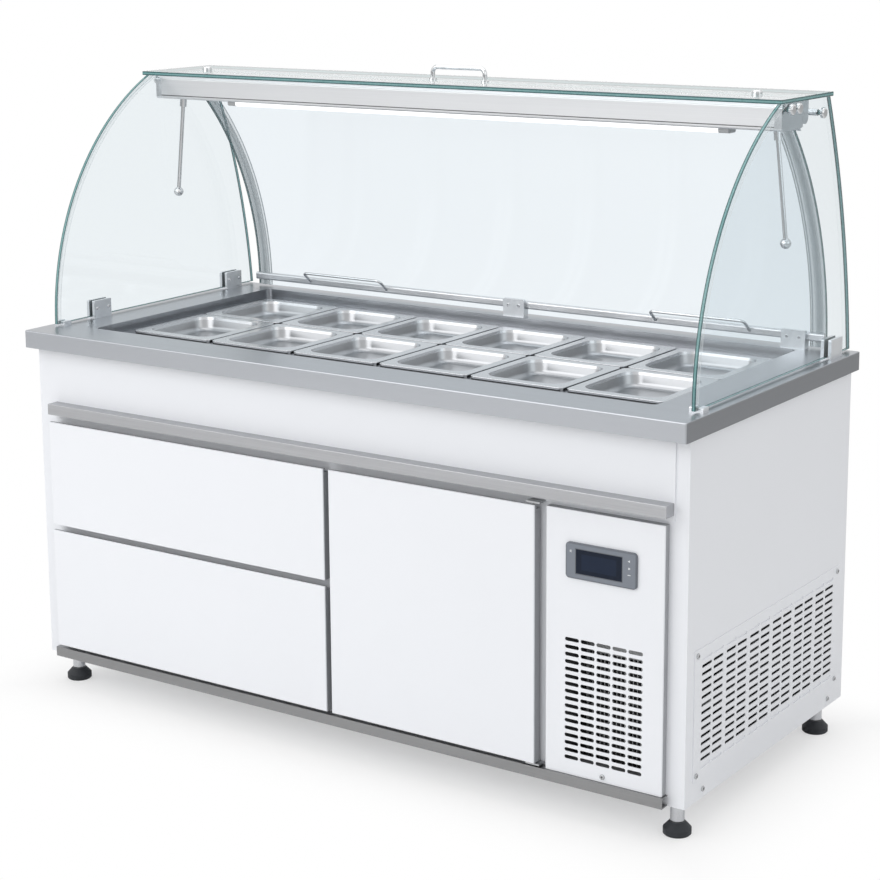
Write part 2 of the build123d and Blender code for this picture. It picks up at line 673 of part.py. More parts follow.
def front_panel(x0, x1, z0, z1):
    """A drawer or door front with a thinner grip lip along its top."""
    front = span(x0, x1, FRONT_FACE, FRONT_BACK, z0, z1)
    front = fillet(front.faces().sort_by(Axis.Y)[0].edges(), FRONT_EDGE_R)
    return front - span(x0, x1, FRONT_FACE + LIP_T, FRONT_BACK, z1 - LIP_H, z1)


def front_seal(x0, x1, z0, z1):
    """Rubber ring on the back of a front."""
    outer = Rectangle(x1 - x0 - 2 * SEAL_INSET, z1 - z0 - 2 * SEAL_INSET)
    hole = Rectangle(x1 - x0 - 2 * (SEAL_INSET + SEAL_W), z1 - z0 - 2 * (SEAL_INSET + SEAL_W))
    return facing(outer - hole, (x0 + x1) / 2, (z0 + z1) / 2, FRONT_BACK, FRONT_BACK + SEAL_T)


def drawer_spans():
    """Lower and upper drawer fronts: name, low z and high z."""
    lower_top = FRONT_BOTTOM + LOWER_FRONT_H
    return (("lower", FRONT_BOTTOM, lower_top), ("upper", lower_top + FRONT_GAP, FRONT_TOP))


def runner_z(z0, z1):
    """Low z of the runners of a drawer whose front spans z0 to z1."""
    return (z0 + z1 - RUNNER_H) / 2


def runner_rails():
    """Four fixed rails on the walls of the drawer cavity."""
    rails = []
    y0 = BODY_FRONT + RUNNER_FRONT
    for _, z0, z1 in drawer_spans():
        low = runner_z(z0, z1)
        for x0 in (DRAWER_CAVITY[0], DRAWER_CAVITY[1] - RUNNER_T):
            rails.append(span(x0, x0 + RUNNER_T, y0, y0 + RUNNER_L, low, low + RUNNER_H))
    return rails


def runner_slides(z0, z1):
    """The pair of middle members between the fixed rails and one drawer box."""
    low = runner_z(z0, z1)
    y0 = BODY_FRONT + RUNNER_FRONT
    offset = RUNNER_T + RUNNER_PLAY
    left = DRAWER_CAVITY[0] + offset
    right = DRAWER_CAVITY[1] - offset - SLIDE_T
    return [span(x0, x0 + SLIDE_T, y0, y0 + RUNNER_L, low, low + RUNNER_H) for x0 in (left, right)]


def drawer_box(z0, z1):
    """Open-topped sheet box on the back of a drawer front."""
    inset = RUNNER_T + SLIDE_T + 2 * RUNNER_PLAY
    x0 = DRAWER_CAVITY[0] + inset
    x1 = DRAWER_CAVITY[1] - inset
    y1 = FRONT_BACK + BOX_DEPTH
    low = z0 + BOX_FLOOR_RISE
    high = z1 - BOX_HEAD_ROOM
    box = span(x0, x1, FRONT_BACK, y1, low, high)
    return box - span(x0 + BOX_SHEET, x1 - BOX_SHEET, FRONT_BACK + BOX_SHEET, y1 - BOX_SHEET,
                      low + BOX_SHEET, high)


def door_panel():
    """Hinged door with a blind pin hole in its top and bottom edges."""
    door = front_panel(DOOR_LEFT, DOOR_RIGHT, FRONT_BOTTOM, FRONT_TOP)
    hole_r = HINGE_PIN_R + HINGE_PLAY
    door -= rod_z(HINGE_X, HINGE_Y, FRONT_BOTTOM, FRONT_BOTTOM + HINGE_PIN_L, hole_r)
    return door - rod_z(HINGE_X, HINGE_Y, FRONT_TOP - LIP_H - HINGE_PIN_L, FRONT_TOP - LIP_H, hole_r)


def door_hinges():
    """Bracket with a pin under the door and another above it, both on the carcass."""
    x0 = HINGE_X - HINGE_PLATE_W / 2
    x1 = HINGE_X + HINGE_PLATE_W / 2
    y0 = HINGE_Y - HINGE_PIN_R - HINGE_PLATE_T
    low = FRONT_BOTTOM - HINGE_PLATE_GAP
    high = FRONT_TOP + HINGE_PLATE_GAP
    bottom = span(x0, x1, y0, BODY_FRONT, low - HINGE_PLATE_T, low)
    bottom += rod_z(HINGE_X, HINGE_Y, low, low + HINGE_PIN_L, HINGE_PIN_R)
    top = span(x0, x1, y0, BODY_FRONT, high, high + HINGE_PLATE_T)
    top += rod_z(HINGE_X, HINGE_Y, high - HINGE_PIN_L, high, HINGE_PIN_R)
    return [bottom, top]


def door_shelf():
    """Slotted shelf with turned-down edges, on four pegs in the door cavity."""
    x0 = DOOR_CAVITY[0] + SHELF_PLAY
    x1 = DOOR_CAVITY[1] - SHELF_PLAY
    y0 = BODY_FRONT + SHELF_SETBACK
    y1 = y0 + SHELF_DEPTH
    shelf = span(x0, x1, y0, y1, SHELF_Z - SHELF_LIP, SHELF_Z)
    shelf -= span(x0 + SHELF_SHEET, x1 - SHELF_SHEET, y0 + SHELF_SHEET, y1 - SHELF_SHEET,
                  SHELF_Z - SHELF_LIP, SHELF_Z - SHELF_SHEET)
    pitch = (x1 - x0) / (SHELF_SLOTS + 1)
    slot = Rot(0, 0, 90) * SlotOverall(SHELF_DEPTH - 2 * SHELF_SLOT_MARGIN, SHELF_SLOT_W)
    for index in range(SHELF_SLOTS):
        shelf -= slab_z(slot, x0 + (index + 1) * pitch, (y0 + y1) / 2, SHELF_Z - SHELF_SHEET, SHELF_Z)
    return shelf


def bulged(start, end, bulge):
    """Arc from start to end that swells by bulge to the right of its run."""
    run = (end[0] - start[0], end[1] - start[1])
    length = math.hypot(*run)
    middle = ((start[0] + end[0]) / 2 + run[1] / length * bulge,
              (start[1] + end[1]) / 2 - run[0] / length * bulge)
    return ThreePointArc(start, middle, end)


def side_glass(side):
    """Flat end pane with a curved front and rear edge, drilled for its bolts and stop."""
    foot_front = (GLASS_FRONT, GLASS_BOTTOM)
    foot_rear = (GLASS_REAR, GLASS_BOTTOM)
    head_rear = (CANOPY_REAR - SIDE_TOP_MARGIN_REAR, CANOPY_TOP)
    head_front = (CANOPY_FRONT + SIDE_TOP_MARGIN_FRONT, CANOPY_TOP)
    outline = Curve() + [
        Line(foot_front, foot_rear), bulged(foot_rear, head_rear, SIDE_REAR_BULGE),
        Line(head_rear, head_front), bulged(head_front, foot_front, SIDE_FRONT_BULGE)]
    x0, x1 = across(side, GLASS_IN, GLASS_OUT)
    pane = prism_x(make_face(outline), x0, x1)
    pane = chamfer(pane.faces().filter_by(Axis.X).edges(), GLASS_EDGE)
    for y, z in side_bolt_places() + [stop_place()]:
        pane -= rod_x(x0, x1, y, z, BOLT_R + BOLT_PLAY)
    return pane


def side_bolt_places():
    """Bolts through each end pane into the light bar's end cap."""
    return [(BAR_FRONT + setback, SIDE_BOLT_Z) for setback in SIDE_BOLT_SETBACKS]


def turned(y, z, angle):
    """A point of the rear glass after it has swung open by an angle in degrees."""
    a = math.radians(angle)
    dy = y - AXIS_Y
    dz = z - AXIS_Z
    return (AXIS_Y + dy * math.cos(a) - dz * math.sin(a), AXIS_Z + dy * math.sin(a) + dz * math.cos(a))


def stop_place():
    """Stop button that the glass's outer face meets when it is fully open."""
    centre = turned(REAR_CENTRE_Y, REAR_BOTTOM_Z, REAR_OPEN_ANGLE)
    reach = REAR_RADIUS + GLASS_T / 2 + STOP_R + REST_PLAY
    return (STOP_Y, centre[1] + math.sqrt(reach ** 2 - (STOP_Y - centre[0]) ** 2))


def glass_clamp(side, y, length, plate, height):
    """Block on the worktop with a slot for the foot of an end pane and a plate on each side of it."""
    y0 = y - length / 2
    y1 = y + length / 2
    top = COUNTER_H + height
    x0, x1 = across(side, GLASS_IN - CLAMP_PLAY - plate, GLASS_OUT + CLAMP_PLAY + plate)
    block = span(x0, x1, y0, y1, COUNTER_H, top)
    block = fillet(block.edges().filter_by(Axis.X).group_by(Axis.Z)[-1], CLAMP_EDGE_R)
    x0, x1 = across(side, GLASS_IN - CLAMP_PLAY, GLASS_OUT + CLAMP_PLAY)
    return block - span(x0, x1, y0, y1, GLASS_BOTTOM, top)


def glass_clamps():
    """Clamps and corner clips of the end panes; the right pane has no front clamp."""
    front = GLASS_FRONT + CLAMP_FRONT_SETBACK
    rear = GLASS_REAR - CLAMP_REAR_SETBACK
    corner = GLASS_FRONT + CORNER_CLIP_L
    clamps = [glass_clamp(side, y, CLAMP_L, CLAMP_T, CLAMP_H)
              for side, y in ((-1, front), (-1, rear), (1, rear))]
    clips = [glass_clamp(side, corner, CORNER_CLIP_L, CORNER_CLIP_T, CORNER_CLIP_H) for side in (-1, 1)]
    return clamps + clips


def top_glass():
    """Flat pane over the canopy, drilled for its two cap bolts."""
    x1 = HALF_W - TOP_GLASS_INSET
    pane = span(-x1, x1, CANOPY_FRONT, CANOPY_REAR, CANOPY_TOP, CANOPY_TOP + GLASS_T)
    pane = rounded_edges(pane, Axis.Z, TOP_GLASS_CORNER_R)
    pane = chamfer(pane.faces().filter_by(Axis.Z).edges(), GLASS_EDGE)
    for side in (-1, 1):
        pane -= rod_z(side * TOP_BOLT_X, TOP_FITTING_Y, CANOPY_TOP, CANOPY_TOP + GLASS_T, BOLT_R + BOLT_PLAY)
    return pane


def bent_bar(points, bend, radius):
    """A round bar along straight runs joined by bends."""
    path = FilletPolyline(*points, radius=bend)
    start = Plane(path @ 0, z_dir=path % 0)
    return sweep(start * Circle(radius), path=path)


def top_handle():
    """Chrome loop handle on the top glass."""
    seat = CANOPY_TOP + GLASS_T
    half = HANDLE_W / 2
    rise = seat + HANDLE_H - HANDLE_R
    points = [(-half, TOP_FITTING_Y, seat), (-half, TOP_FITTING_Y, rise),
              (half, TOP_FITTING_Y, rise), (half, TOP_FITTING_Y, seat)]
    handle = bent_bar(points, HANDLE_BEND, HANDLE_R)
    for side in (-1, 1):
        handle += rod_z(side * half, TOP_FITTING_Y, seat, seat + HANDLE_FOOT_H, HANDLE_FOOT_R)
    return handle


def domed_head(head, axis, outer):
    """A bolt head with its outer rim rounded."""
    return fillet(head.faces().sort_by(axis)[outer].edges(), BOLT_HEAD_H / 2)


def cap_bolts():
    """Chrome cap bolts of the top glass and the end panes, and the two stop buttons."""
    bolts = []
    seat = CANOPY_TOP + GLASS_T
    for side in (-1, 1):
        head = rod_z(side * TOP_BOLT_X, TOP_FITTING_Y, seat, seat + BOLT_HEAD_H, BOLT_HEAD_R)
        shank = rod_z(side * TOP_BOLT_X, TOP_FITTING_Y, CANOPY_TOP - BAR_WALL, seat, BOLT_R)
        bolts.append(domed_head(head, Axis.Z, -1) + shank)
        outer = -1 if side > 0 else 0
        places = [(y, z, BAR_X + BOLT_HEAD_H, BOLT_R) for y, z in side_bolt_places()]
        places.append((*stop_place(), GLASS_IN - STOP_REACH, STOP_R))
        for y, z, end, radius in places:
            head = rod_x(side * GLASS_OUT, side * (GLASS_OUT + BOLT_HEAD_H), y, z, BOLT_HEAD_R)
            bolt = domed_head(head, Axis.X, outer) + rod_x(side * GLASS_IN, side * GLASS_OUT, y, z, BOLT_R)
            bolts.append(bolt + rod_x(side * end, side * GLASS_IN, y, z, radius))
    return bolts


def bar_block(x0, x1, inset):
    """The light bar's outside, or its hollow when inset: rounded edges, the upper front one the largest."""
    block = span(x0, x1, BAR_FRONT + inset, BAR_REAR - inset, BAR_BOTTOM + inset, BAR_TOP - inset)
    block = fillet(block.edges().filter_by(Axis.X).group_by(Axis.Y)[-1], BAR_EDGE_R - inset)
    for level, radius in ((0, BAR_EDGE_R), (-1, BAR_CROWN_R)):
        front = block.edges().filter_by(Axis.X).group_by(Axis.Y)[0]
        block = fillet(front.sort_by(Axis.Z)[level], radius - inset)
    return block


def light_bar():
    """Aluminium box profile across the canopy, grooved in front and drilled for the top glass's bolts."""
    bar = bar_block(-BAR_X, BAR_X, 0) - bar_block(-BAR_X, BAR_X, BAR_WALL)
    groove_z = BAR_BOTTOM + BAR_GROOVE_RISE
    bar -= span(-BAR_X, BAR_X, BAR_FRONT, BAR_FRONT + BAR_GROOVE_DEPTH, groove_z, groove_z + BAR_GROOVE_H)
    for side in (-1, 1):
        bar -= rod_z(side * TOP_BOLT_X, TOP_FITTING_Y, BAR_TOP - BAR_WALL, BAR_TOP, BOLT_R + BOLT_PLAY)
    return bar


def light_bar_end_caps():
    """Grey end blocks between the light bar and the end panes, with the rear glass's pivot bores."""
    caps = []
    for side in (-1, 1):
        x0, x1 = across(side, BAR_X, BAR_X + CAP_T)
        cap = bar_block(x0, x1, 0)
        cap += rod_x(x0, x1, AXIS_Y, AXIS_Z, CAP_LOBE_R)
        cap += span(x0, x1, BAR_REAR - CAP_LOBE_R, AXIS_Y + CAP_LOBE_R, AXIS_Z, BAR_TOP - BAR_WALL)
        pin0, pin1 = across(side, BAR_X, BAR_X + AXIS_PIN_L + TOP_RAIL_GAP)
        cap -= rod_x(pin0, pin1, AXIS_Y, AXIS_Z, AXIS_PIN_R + AXIS_PLAY)
        for y, z in side_bolt_places():
            cap -= rod_x(x0 if side < 0 else x1, side * (BAR_X + BOLT_HEAD_H), y, z, BOLT_R + BOLT_PLAY)
        caps.append(cap)
    return caps


def led_lamp():
    """Long milky lamp under the front of the light bar."""
    y0 = BAR_FRONT + LAMP_SETBACK
    lamp = span(LAMP_SHIFT - LAMP_L / 2, LAMP_SHIFT + LAMP_L / 2, y0, y0 + LAMP_W,
                BAR_BOTTOM - LAMP_H, BAR_BOTTOM)
    lower = lamp.edges().filter_by(Axis.X).group_by(Axis.Z)[0]
    return fillet(lower, LAMP_H / 2)


def canopy_stays():
    """Slanted rod from under the light bar to a ball on each end pane, with a collar at its top."""
    y = BAR_FRONT + STAY_SETBACK
    under_bar = span(-HALF_W, HALF_W, BAR_FRONT, BAR_REAR, COUNTER_H, BAR_BOTTOM)
    stays = []
    for side in (-1, 1):
        ball = Vector(side * (GLASS_IN - STAY_BALL_R - CAP_PLAY), y, BAR_BOTTOM - STAY_DROP)
        head = Vector(side * (BAR_X - STAY_TOP_INSET), y, BAR_BOTTOM)
        run = head - ball
        collar_foot = head - run.normalized() * STAY_COLLAR_L
        rod = leaning_rod(ball, run, run.length + STAY_COLLAR_L, STAY_R)
        rod += leaning_rod(collar_foot, run, 2 * STAY_COLLAR_L, STAY_COLLAR_R)
        stays.append((rod & under_bar) + Pos(ball) * Sphere(STAY_BALL_R))
    return stays


def rear_point(angle, radius):
    """A point of the curved glass, as (Y, Z), by its angle above the level and its radius."""
    a = math.radians(angle)
    return (REAR_CENTRE_Y + radius * math.cos(a), REAR_BOTTOM_Z + radius * math.sin(a))


def rear_section(half, top_angle):
    """Section of the curved glass, half its thickness to each side of the middle radius."""
    inner = REAR_RADIUS - half
    outer = REAR_RADIUS + half
    mid = top_angle / 2
    outline = Curve() + [
        ThreePointArc(rear_point(0, outer), rear_point(mid, outer), rear_point(top_angle, outer)),
        Line(rear_point(top_angle, outer), rear_point(top_angle, inner)),
        ThreePointArc(rear_point(top_angle, inner), rear_point(mid, inner), rear_point(0, inner)),
        Line(rear_point(0, inner), rear_point(0, outer))]
    return make_face(outline)


def rear_glass():
    """Curved pane that closes the far side of the canopy."""
    pane = prism_x(rear_section(GLASS_T / 2, REAR_TOP_ANGLE), -REAR_HALF_W, REAR_HALF_W)
    return chamfer(pane.faces().filter_by(Axis.X).edges(), GLASS_EDGE)


def rear_top_rail():
    """Aluminium grip along the glass's top edge, with a pivot pin at each end."""
    grip = rear_point(REAR_GRIP_ANGLE, REAR_RADIUS)
    run = (grip[0] - AXIS_Y, grip[1] - AXIS_Z)
    slant = math.degrees(math.atan2(run[1], run[0]))
    place = Pos((grip[0] + AXIS_Y) / 2, (grip[1] + AXIS_Z) / 2) * Rot(0, 0, slant)
    section = place * SlotCenterToCenter(math.hypot(*run), 2 * TOP_RAIL_R)
    play_angle = math.degrees(SLOT_PLAY / REAR_RADIUS)
    section -= rear_section(GLASS_T / 2 + SLOT_PLAY, REAR_TOP_ANGLE + play_angle)
    x1 = BAR_X - TOP_RAIL_GAP
    rail = prism_x(section, -x1, x1)
    for side in (-1, 1):
        rail += rod_x(side * x1, side * (BAR_X + AXIS_PIN_L), AXIS_Y, AXIS_Z, AXIS_PIN_R)
    return rail


def rear_bottom_rail():
    """Aluminium bar along the inner face of the glass, just above its bottom edge."""
    rail = span(-REAR_HALF_W, REAR_HALF_W, BOTTOM_RAIL_FRONT, REAR_BOTTOM_Y,
                BOTTOM_RAIL_Z, BOTTOM_RAIL_Z + BOTTOM_RAIL_H)
    rail = fillet(rail.edges().filter_by(Axis.X).group_by(Axis.Y)[0], BOTTOM_RAIL_EDGE_R)
    half = GLASS_T / 2 + SLOT_PLAY
    return rail - prism_x(rear_section(half, REAR_TOP_ANGLE), -REAR_HALF_W, REAR_HALF_W)


def rear_handles():
    """Two bent wire handles on the front of the bottom rail, leaning inward."""
    y0 = BOTTOM_RAIL_FRONT
    z0 = BOTTOM_RAIL_Z + BOTTOM_RAIL_H / 2
    handles = []
    for side in (-1, 1):
        x0 = side * WIRE_X - WIRE_L / 2
        x1 = side * WIRE_X + WIRE_L / 2
        points = [(x0, y0, z0), (x0, y0 - WIRE_OUT, z0 + WIRE_RISE),
                  (x1, y0 - WIRE_OUT, z0 + WIRE_RISE), (x1, y0, z0)]
        wire = bent_bar(points, WIRE_BEND, WIRE_R)
        handles.append(wire & span(x0 - WIRE_L, x1 + WIRE_L, -HALF_D, y0, COUNTER_H, CANOPY_TOP))
    return handles


def rear_rests():
    """Two angle blocks on the worktop, at the middle and the right, for the bottom rail to sit on."""
    rests = []
    face = BOTTOM_RAIL_FRONT - REST_PLAY
    for x in (0, REAR_HALF_W - REST_END_INSET):
        rest = span(x - REST_W / 2, x + REST_W / 2, face - REST_T, face, COUNTER_H, COUNTER_H + REST_H)
        rest = fillet(rest.edges().filter_by(Axis.Y).group_by(Axis.Z)[-1], CLAMP_EDGE_R)
        rest += span(x - REST_W / 2, x + REST_W / 2, face, REAR_BOTTOM_Y - GLASS_T / 2 - REST_PLAY,
                     COUNTER_H, BOTTOM_RAIL_Z - REST_PLAY)
        rests.append(rest)
    return rests


def leg_places():
    """Middle of every leg: name and place."""
    x = HALF_W - LEG_INSET_X
    front = -HALF_D + LEG_FRONT
    rear = HALF_D - LEG_REAR
    return (("front_left", -x, front), ("front_right", x, front),
            ("rear_left", -x, rear), ("rear_right", x, rear))


def legs():
    """Four bright leg tubes under the carcass."""
    tubes = []
    for _, x, y in leg_places():
        tube = rod_z(x, y, LEG_BOTTOM, LEG_H, LEG_R)
        tubes.append(tube - rod_z(x, y, LEG_BOTTOM, LEG_H - STEM_TOP_GAP / 2, STEM_R + STEM_PLAY))
    return tubes


def foot(x, y):
    """Black pad with a stem that screws up into its leg."""
    stem_top = LEG_H - STEM_TOP_GAP
    points = [(0, 0), (PAD_R - PAD_EDGE, 0), (PAD_R, PAD_EDGE), (PAD_R, PAD_H - PAD_EDGE),
              (PAD_NECK_R, PAD_NECK_H), (STEM_R, PAD_NECK_H), (STEM_R, stem_top), (0, stem_top)]
    half = make_face(Plane.XZ * Polyline(*points, close=True))
    return Pos(x, y, 0) * revolve(half, Axis.Z)


def machine_middle():
    """X of the middle of the machine bay."""
    return (BAY_INNER_LEFT + BODY_X - SKIN) / 2


def condenser():
    """Finned condenser behind the front grille, with its fan shroud and motor on one frame."""
    x = machine_middle()
    y0 = BODY_FRONT + CONDENSER_BACKSET
    y1 = y0 + CONDENSER_T
    floor = LEG_H + BAY_FLOOR
    half = CONDENSER_W / 2
    core = span(x - half, x + half, y0, y1, floor, floor + CONDENSER_H)
    pitch = CONDENSER_W / CONDENSER_FINS
    low = floor + CONDENSER_BORDER
    high = floor + CONDENSER_H - CONDENSER_BORDER
    for index in range(1, CONDENSER_FINS):
        left = x - half + index * pitch - pitch / 2 + FIN_T / 2
        core -= span(left, left + pitch - FIN_T, y0, y0 + FIN_DEPTH, low, high)
    shroud = span(x - half, x + half, y1, y1 + SHROUD_D, floor, floor + CONDENSER_H)
    shroud -= rod_y(x, y1, y1 + SHROUD_D, FAN_Z, FAN_R + FAN_TIP_GAP)
    motor_y = y1 + SHROUD_D + FAN_GAP
    motor = rod_y(x, motor_y, motor_y + MOTOR_L, FAN_Z, MOTOR_R)
    arm_y = motor_y + MOTOR_L - MOTOR_ARM
    arm_z0 = FAN_Z - MOTOR_ARM / 2
    arm_z1 = FAN_Z + MOTOR_ARM / 2
    motor += span(x - half, x + half, arm_y, arm_y + MOTOR_ARM, arm_z0, arm_z1)
    for side in (-1, 1):
        edge0, edge1 = across(side, half - MOTOR_ARM, half)
        motor += span(x + edge0, x + edge1, y1 + SHROUD_D, arm_y, arm_z0, arm_z1)
    shaft = rod_y(x, motor_y - FAN_GAP - FAN_T, motor_y, FAN_Z, FAN_SHAFT_R)
    return core + shroud + motor + shaft


def condenser_fan():
    """Bladed fan on the motor's shaft."""
    x = machine_middle()
    back = BODY_FRONT + CONDENSER_BACKSET + CONDENSER_T + SHROUD_D
    front = back - FAN_T
    hub = rod_y(x, front, back, FAN_Z, FAN_HUB_R)
    blade = Pos(0, 0, (FAN_HUB_R + FAN_R) / 2) * Rot(0, 0, FAN_PITCH)
    blade = blade * Box(FAN_BLADE_W, FAN_BLADE_T, FAN_R - FAN_HUB_R + FAN_BLADE_T)
    inside = rod_y(0, -FAN_T / 2, FAN_T / 2, 0, FAN_R)
    fan = hub
    for index in range(FAN_BLADES):
        turn = Pos(x, (front + back) / 2, FAN_Z) * Rot(0, index * 360 / FAN_BLADES, 0)
        fan += turn * (blade & inside)
    return fan - rod_y(x, front, back, FAN_Z, FAN_SHAFT_R + FAN_PLAY)


def compressor():
    """Sealed compressor dome on a foot plate."""
    x = machine_middle()
    floor = LEG_H + BAY_FLOOR
    seat = floor + COMPRESSOR_BASE
    half = COMPRESSOR_FOOT / 2
    dome = rod_z(x, COMPRESSOR_Y, seat, seat + COMPRESSOR_H, COMPRESSOR_R)
    dome = fillet(dome.faces().sort_by(Axis.Z)[-1].edges(), COMPRESSOR_DOME_R)
    return dome + span(x - half, x + half, COMPRESSOR_Y - half, COMPRESSOR_Y + half, floor, seat)


def evaporator():
    """Finned cooling coil on the cavity's back wall, behind the drawers."""
    x0 = DRAWER_CAVITY[0] + EVAPORATOR_IN
    x1 = x0 + EVAPORATOR_W
    front = CAVITY_REAR - EVAPORATOR_T
    top = EVAPORATOR_Z + EVAPORATOR_H
    coil = span(x0, x1, front, CAVITY_REAR, EVAPORATOR_Z, top)
    pitch = EVAPORATOR_W / EVAPORATOR_FINS
    for index in range(EVAPORATOR_FINS):
        left = x0 + index * pitch + FIN_T
        coil -= span(left, left + pitch - 2 * FIN_T, front, front + FIN_DEPTH, EVAPORATOR_Z, top)
    return coil


def nodes():
    """Every sub-part by name; a list holds a group of separate, like solids."""
    parts = {
        "cabinet_body": cabinet_body(), "front_top_panel": front_top_panel(),
        "handle_strip": handle_strip(), "base_rail": base_rail(), "machine_panel": machine_panel(),
        "controller_bezel": controller_bezel(), "controller_display": controller_display(),
        "side_vent_panel": side_vent_panel(), "panel_screws": panel_screws(),
        "countertop": countertop(), "pan_deck": pan_deck(), "runner_rails": runner_rails(),
        "door_hinges": door_hinges(), "door_shelf": door_shelf(), "door_panel": door_panel(),
        "door_gasket": front_seal(DOOR_LEFT, DOOR_RIGHT, FRONT_BOTTOM, FRONT_TOP - LIP_H),
        "left_side_glass": side_glass(-1), "right_side_glass": side_glass(1),
        "glass_clamps": glass_clamps(), "top_glass": top_glass(), "top_handle": top_handle(),
        "cap_bolts": cap_bolts(), "light_bar": light_bar(), "light_bar_end_caps": light_bar_end_caps(),
        "led_lamp": led_lamp(), "canopy_stays": canopy_stays(), "rear_glass": rear_glass(),
        "rear_top_rail": rear_top_rail(), "rear_bottom_rail": rear_bottom_rail(),
        "rear_handles": rear_handles(), "rear_rests": rear_rests(), "legs": legs(),
        "condenser": condenser(), "condenser_fan": condenser_fan(), "compressor": compressor(),
        "evaporator": evaporator()}
    for name, z0, z1 in drawer_spans():
        parts[f"{name}_drawer_front"] = front_panel(DRAWER_LEFT, DRAWER_RIGHT, z0, z1)
        parts[f"{name}_drawer_gasket"] = front_seal(DRAWER_LEFT, DRAWER_RIGHT, z0, z1 - LIP_H)
        parts[f"{name}_drawer_box"] = drawer_box(z0, z1)
        parts[f"{name}_runner_slides"] = runner_slides(z0, z1)
    one_pan = pan()
    for row_name, row in zip(("front", "rear"), pan_places()):
        for number, (x, y) in enumerate(row, start=1):
            parts[f"{row_name}_pan_{number}"] = Pos(x, y, 0) * one_pan
    for name, x, y in leg_places():
        parts[f"{name}_foot"] = foot(x, y)
    return parts


os.makedirs("parts", exist_ok=True)
for node, shape in nodes().items():
    group = Compound(children=shape) if isinstance(shape, list) else shape
    export_step(group, f"parts/{node}.step")
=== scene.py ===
import math

import bmesh
import bpy
from bpy.props import FloatProperty, FloatVectorProperty, PointerProperty
from mathutils import Matrix, Vector


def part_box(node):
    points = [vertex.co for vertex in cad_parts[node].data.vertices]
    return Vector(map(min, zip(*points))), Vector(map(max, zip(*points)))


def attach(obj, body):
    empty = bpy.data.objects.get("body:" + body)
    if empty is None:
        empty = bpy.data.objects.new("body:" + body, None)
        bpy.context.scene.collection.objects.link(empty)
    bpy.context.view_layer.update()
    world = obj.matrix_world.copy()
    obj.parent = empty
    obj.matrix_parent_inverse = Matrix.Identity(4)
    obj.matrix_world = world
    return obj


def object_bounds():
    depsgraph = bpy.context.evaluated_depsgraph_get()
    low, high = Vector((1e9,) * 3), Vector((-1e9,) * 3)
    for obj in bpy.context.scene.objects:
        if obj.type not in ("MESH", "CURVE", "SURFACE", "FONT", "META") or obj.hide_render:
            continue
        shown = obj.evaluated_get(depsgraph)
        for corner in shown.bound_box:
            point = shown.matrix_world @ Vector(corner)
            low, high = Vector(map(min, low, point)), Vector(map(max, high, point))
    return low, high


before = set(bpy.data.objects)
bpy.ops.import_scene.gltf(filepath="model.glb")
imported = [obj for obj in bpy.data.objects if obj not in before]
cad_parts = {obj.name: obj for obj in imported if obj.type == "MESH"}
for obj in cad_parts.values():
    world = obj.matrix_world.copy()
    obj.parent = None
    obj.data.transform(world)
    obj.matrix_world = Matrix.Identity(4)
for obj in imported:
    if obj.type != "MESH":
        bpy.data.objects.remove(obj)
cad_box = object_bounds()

bl_info = {
    "name": "Salad bar",
    "version": (1, 0, 0),
    "blender": (4, 5, 0),
    "location": "View3D > Sidebar > Salad bar",
    "description": "Finishes a refrigerated salad bar and sets it on a plain studio floor",
    "category": "Object",
}

PANS = [f"{row}_pan_{number}" for row in ("front", "rear") for number in range(1, 7)]
FEET = [f"{end}_{side}_foot" for end in ("front", "rear") for side in ("left", "right")]

# Metres: the cabinet's sheet, the ease of a sharp and of a softer border between two finishes
SHEET = 0.0012
CRISP = 0.0002
SOFT = 0.0006

# Metres: dark flat cross laid on the head of a panel screw as painted shade of its cross recess
CROSS_RADIUS = 0.0024
CROSS_RISE = 0.00012

# Heights of the signs on the controller, as shares measured down from its top
KEY_ROWS = (0.24, 0.44, 0.62, 0.78)
INDICATOR_ROWS = (0.24, 0.70)

# Lamps: place, aim, width and height
KEY_LAMP = ((-1.6, -4.2, 3.0), (0.0, 0.0, 0.6), 5.0, 4.0)
FILL_LAMP = ((4.2, -0.6, 2.2), (0.5, 0.0, 0.6), 2.4, 2.4)
TOP_LAMP = ((0.0, 0.2, 4.2), (0.0, 0.0, 0.0), 5.0, 4.0)


def shade(name, description, default):
    """A colour a user can change."""
    return FloatVectorProperty(name=name, description=description, default=default,
                               subtype="COLOR", size=3, min=0.0, max=1.0)


def length(name, description, default):
    """A length a user can change, in metres."""
    return FloatProperty(name=name, description=description, default=default,
                         unit="LENGTH", subtype="DISTANCE", precision=5)


def power(name, description, default):
    """The power of a lamp, in watts."""
    return FloatProperty(name=name, description=description, default=default, unit="POWER", min=0.0)


def turn(name, description, default):
    """An angle given in degrees."""
    return FloatProperty(name=name, description=description, default=math.radians(default),
                         unit="ROTATION", subtype="ANGLE")


class EnamelLook(bpy.types.PropertyGroup):
    """White coat of the cabinet and its fronts."""

    white: shade("White", "Colour of the coated steel", (0.868, 0.884, 0.918))
    # Partly painted shade: the grey profile of the fronts and the bay panel's sides is set dark to stand
    # in for the shade in the gaps between parts.
    edging_and_shade: shade("Edging", "Grey sides of the fronts and the bay panel", (0.34, 0.35, 0.37))
    liner: shade("Liner", "Colour of the cold compartments", (0.60, 0.62, 0.64))
    # Painted shade: this dark sheet colour stands in for the shade inside the machine bay and behind its
    # panel.
    bay: shade("Machine bay", "Bare sheet inside the machine bay", (0.22, 0.223, 0.23))
    seal: shade("Seal", "Rubber seals of the drawers and the door", (0.16, 0.165, 0.17))
    face_band: length("Face band", "Depth of white that wraps round the edge of a front", 0.0022)


